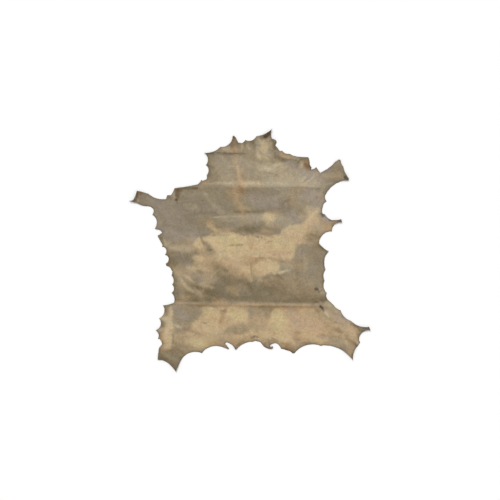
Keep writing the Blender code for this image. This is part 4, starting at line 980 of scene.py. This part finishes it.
def stain_and_light_mask(x, y, pigment):
    """1 - product of (1 - cover) over a pigment's strokes, stains and painted light alike. A cover is
    the stroke's depth, times the blend 3t^2 - 2t^3 across its edge, which is two blurs wide, or two
    reaches if that is less. The distance is taken from a place that strays, and a slim stroke
    tapers toward its ends."""
    stray_x = sum(size * chance(x, y, wave, int(wave)) for wave, size in STRAY)
    stray_y = sum(size * chance(x, y, wave, int(wave) + 1) for wave, size in STRAY)
    blur = PIGMENTS[pigment].blur
    bare = np.ones_like(x)
    for s in map(StainOrLightStroke._make, STAINS_AND_PAINTED_LIGHT[pigment]):
        stray = np.clip((s.reach - STRAY_FROM) / (STRAY_FULL - STRAY_FROM), 0, 1)
        away_x, away_y = x + stray * stray_x - s.x, y + stray * stray_y - s.y
        run, lift = s.to_x - s.x, s.to_y - s.y
        length = np.hypot(run, lift)
        share = np.clip((away_x * run + away_y * lift) / length ** 2, 0, 1)
        off = np.hypot(away_x - share * run, away_y - share * lift)
        slim = np.clip((length / s.reach - SLIM_FROM) / (SLIM_FULL - SLIM_FROM), 0, 1)
        taper = TAPER * slim * (2 * share - 1) ** 2
        edge = np.clip((s.reach * (1 - taper) - off) / (2 * min(blur, s.reach)) + 0.5, 0, 1)
        bare *= 1 - s.depth * edge * edge * (3 - 2 * edge)
    return 1 - bare


for pigment in STAINS_AND_PAINTED_LIGHT:
    mask = skin_mesh.attributes.new(pigment, "FLOAT", "POINT")
    mask.data.foreach_set("value", np.tile(stain_and_light_mask(x, y, pigment), 2))

BROWNED = [(3.0, 0.55), (14.0, 0.16)]    # depths and strengths of the rim's browning
browned = sum(strength * np.exp(-from_rim / depth) for depth, strength in BROWNED)
rim_mask = skin_mesh.attributes.new("browned", "FLOAT", "POINT")
rim_mask.data.foreach_set("value", np.tile(browned, 2))

# ---- The finish of the skin ----
# Dried raw skin: matt and faintly waxy, with a fine grain, fibres and pores. Its colour is the bare
# skin's, with the stains and the painted light and shade over it and a browner rim, all broken up
# by the grain.


class Wire:
    """One socket of a shader. Sums, differences and products of wires add their Math nodes."""

    def __init__(self, tree, socket=None):
        self.tree = tree
        self.socket = socket

    def node(self, kind, settings=(), inputs=(), out=0):
        """Add a node of this kind, set its settings, then its inputs, and return one output."""
        made = self.tree.nodes.new(kind)
        for name, value in dict(settings).items():
            setattr(made, name, value)
        for name, value in dict(inputs).items():
            if isinstance(value, Wire):
                self.tree.links.new(value.socket, made.inputs[name])
            else:
                made.inputs[name].default_value = value
        return Wire(self.tree, made.outputs[out])

    def math(self, operation, left, right):
        return self.node("ShaderNodeMath", {"operation": operation}, {0: left, 1: right})

    def __add__(self, other):
        return self.math("ADD", self, other)

    __radd__ = __add__

    def __sub__(self, other):
        return self.math("SUBTRACT", self, other)

    def __rsub__(self, other):
        return self.math("SUBTRACT", other, self)

    def __mul__(self, other):
        return self.math("MULTIPLY", self, other)

    __rmul__ = __mul__

    def held(self):
        """The value kept from 0 to 1."""
        return self.node("ShaderNodeClamp", {}, {"Value": self})


SHINE = 0.025            # light that the surface returns whatever its colour
STUDIO_LIGHT = 1.07      # light that falls on it


def base_colour(red, green, blue):
    """The base colour that shows as this display colour of 0 to 255 in the studio light: its
    linear light ((c + 0.055) / 1.055)^2.4, less the shine, over the light."""
    seen = ((np.array([red, green, blue]) / 255 + 0.055) / 1.055) ** 2.4
    return *((seen - SHINE) / STUDIO_LIGHT), 1.0


rawhide = bpy.data.materials.new("rawhide")
rawhide.use_nodes = True
shader = rawhide.node_tree.nodes["Principled BSDF"]
paint = Wire(rawhide.node_tree)
place = paint.node("ShaderNodeTexCoord", out="Object")


def noise(scale, detail, roughness, where=place, shift=0.0, twist=0.0):
    """Noise from 0 to 1 about 0.5, of this many cells a metre, drawn out into curls by its twist."""
    sockets = {"Vector": where, "Scale": scale, "Detail": detail, "Roughness": roughness}
    sockets |= {"W": shift, "Distortion": twist}
    return paint.node("ShaderNodeTexNoise", {"noise_dimensions": "4D"}, sockets)


def over(base, cover, colour):
    """The base colour, covered by another where cover is 1. Sockets 6 and 7 take the colours."""
    sockets = {"Factor": cover, 6: base, 7: colour}
    return paint.node("ShaderNodeMix", {"data_type": "RGBA"}, sockets, 2)


def vectors(operation, sockets):
    """One Vector Math node, which also works on colours."""
    return paint.node("ShaderNodeVectorMath", {"operation": operation}, sockets)


# The fibres swirl: the place that they are read from is pushed about by a slow noise.
SWIRL_CELLS = 7.0
SWIRL_DETAIL = 2.0
SWIRL_PUSH = 0.25
sockets = {"Vector": place, "Scale": SWIRL_CELLS, "Detail": SWIRL_DETAIL}
swirl = paint.node("ShaderNodeTexNoise", {}, sockets, 1)
bent = vectors("ADD", {0: place, 1: vectors("SCALE", {0: swirl, "Scale": SWIRL_PUSH})})


def drawn_out(x_share, y_share):
    """The bent place with its x and y times these shares, so noise is longer where one is less."""
    return paint.node("ShaderNodeMapping", {}, {"Vector": bent, "Scale": (x_share, y_share, 1.0)})


FIBRE_SHARE = 0.14
LYING_SHARE = 0.4
down = drawn_out(1.0, FIBRE_SHARE)
across = drawn_out(FIBRE_SHARE, 1.0)
lying = drawn_out(LYING_SHARE, 1.0)

# Cells a metre, detail and roughness of each noise.
FEATHERING = 85.0, 6.0, 0.65
MOTTLE = 42.0, 6.0, 0.62
BLOTCH = 11.0, 4.0, 0.6
FIBRE_DOWN = 170.0, 5.0, 0.68
FIBRE_ACROSS = 150.0, 5.0, 0.68
GRAIN = 80.0, 5.0, 0.77
CAST = 24.0, 3.0, 0.55
MIDDLE = 0.5             # of every noise
GRAIN_TWIST = 1.7
PORES = 420.0            # pores a metre
PORE_STEEPNESS = 3.2

FEATHER = 5.5            # how far fine noise breaks up the soft edge of a stain
LAYER_SHIFT = 3.7        # each pigment's noise is taken this far from the last one's,
ACROSS_SHIFT = 5.0       # and these two are shifted to differ from the others
CAST_SHIFT = 41.0
colour = base_colour(*BARE_SKIN)
for layer, pigment in enumerate(STAINS_AND_PAINTED_LIGHT):
    mask = paint.node("ShaderNodeAttribute", {"attribute_name": pigment}, out="Fac")
    feathering = noise(*FEATHERING, lying, layer * LAYER_SHIFT) - MIDDLE
    broken = feathering * FEATHER * mask * (1 - mask)
    colour = over(colour, (mask + broken).held(), base_colour(*PIGMENTS[pigment][:3]))

mottle = noise(*MOTTLE)
blotch = noise(*BLOTCH)
fibre = noise(*FIBRE_DOWN, down) + noise(*FIBRE_ACROSS, across, ACROSS_SHIFT) - MIDDLE
grain = noise(*GRAIN, twist=GRAIN_TWIST)
pore = paint.node("ShaderNodeTexVoronoi", {}, {"Vector": place, "Scale": PORES, "Randomness": 1.0})
pits = (1 - pore * PORE_STEEPNESS).held()


def mixed(**shares):
    """Sum of each noise's height over its middle, times its share."""
    heights = {"mottle": mottle, "blotch": blotch, "fibre": fibre, "grain": grain}
    return sum((heights[name] - MIDDLE) * share for name, share in shares.items())


PIT_TONE = 0.05          # a pit is this much darker, rougher and lower
PIT_ROUGHNESS = 0.05
PIT_RELIEF = 0.25
tone = 1 + mixed(mottle=0.42, blotch=0.22, fibre=0.55, grain=1.05) - pits * PIT_TONE
colour = vectors("SCALE", {0: colour, "Scale": tone})

WARM_CAST = 1.07, 1.0, 0.88, 1.0     # light from the skin, patch by patch, leans to this
COOL_CAST = 0.93, 1.0, 1.08, 1.0     # or to this
cast = over(COOL_CAST, noise(*CAST, lying, CAST_SHIFT), WARM_CAST)
colour = vectors("MULTIPLY", {0: colour, 1: cast})

BROWN_LEAST = 0.6        # share of the rim's browning where the mottle is lowest,
BROWN_MOTTLE = 0.8       # and what the mottle adds to it
browning = paint.node("ShaderNodeAttribute", {"attribute_name": "browned"}, out="Fac")
browning = (browning * (BROWN_LEAST + mottle * BROWN_MOTTLE)).held()
colour = over(colour, browning, base_colour(*RIM_BROWN))
paint.tree.links.new(colour.socket, shader.inputs["Base Color"])

ROUGHNESS = 0.62
roughness = ROUGHNESS + mixed(mottle=0.25, grain=0.15) + pits * PIT_ROUGHNESS
paint.tree.links.new(roughness.socket, shader.inputs["Roughness"])
shader.inputs["Specular IOR Level"].default_value = 0.35

RELIEF_STRENGTH = 0.5
RELIEF_HEIGHT = 0.9 * MM
relief = mixed(grain=0.25, fibre=0.45, mottle=0.5) - pits * PIT_RELIEF
sockets = {"Height": relief, "Strength": RELIEF_STRENGTH, "Distance": RELIEF_HEIGHT}
raised = paint.node("ShaderNodeBump", {}, sockets)
paint.tree.links.new(raised.socket, shader.inputs["Normal"])
skin_mesh.materials.append(rawhide)

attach(skin, "root")
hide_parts("hide")

# ---- The floor, the light and the camera ----
# A plain pale floor, an even white sky and one broad lamp from the neck's side, low enough to
# show the folds. The camera looks straight down.
FLOOR_HALF = 14.0        # metres, as all in this section
FLOOR_LEVEL = -0.0004
PALE = 0.95, 0.95, 0.95, 1.0
WHITE = 1.0, 1.0, 1.0, 1.0
corners = [(-1, -1), (1, -1), (1, 1), (-1, 1)]
corners = [(u * FLOOR_HALF, v * FLOOR_HALF, FLOOR_LEVEL) for u, v in corners]
floor_mesh = bpy.data.meshes.new("floor")
floor_mesh.from_pydata(corners, [], [(0, 1, 2, 3)])
floor = bpy.data.objects.new("floor", floor_mesh)
bpy.context.scene.collection.objects.link(floor)
paper = bpy.data.materials.new("floor_paper")
paper.use_nodes = True
paper.node_tree.nodes["Principled BSDF"].inputs["Base Color"].default_value = PALE
paper.node_tree.nodes["Principled BSDF"].inputs["Roughness"].default_value = 0.9
floor_mesh.materials.append(paper)

SKY_STRENGTH = 0.58
world = bpy.data.worlds.new("studio")
world.use_nodes = True
world.node_tree.nodes["Background"].inputs["Color"].default_value = WHITE
world.node_tree.nodes["Background"].inputs["Strength"].default_value = SKY_STRENGTH
bpy.context.scene.world = world

LAMP_FROM = -0.2, 0.5, 1.0
LAMP_WIDTH = 0.35        # radians across
LAMP_STRENGTH = 1.75
key_data = bpy.data.lights.new("key", "SUN")
key_data.angle = LAMP_WIDTH
key_data.energy = LAMP_STRENGTH
key = bpy.data.objects.new("key", key_data)
key.rotation_euler = Vector(LAMP_FROM).to_track_quat("Z", "Y").to_euler()
bpy.context.scene.collection.objects.link(key)

SEEN_WIDTH = 2.075       # of floor, across the picture
SEEN_MIDDLE = 0.0015, 0.0004
CAMERA_HEIGHT = 6.0
SENSOR = 36.0
camera_data = bpy.data.cameras.new("camera")
camera_data.sensor_width = SENSOR
camera_data.lens = SENSOR * CAMERA_HEIGHT / SEEN_WIDTH
camera = bpy.data.objects.new("camera", camera_data)
camera.location = (*SEEN_MIDDLE, CAMERA_HEIGHT)
bpy.context.scene.collection.objects.link(camera)
bpy.context.scene.camera = camera
bpy.context.scene.view_settings.view_transform = "Standard"
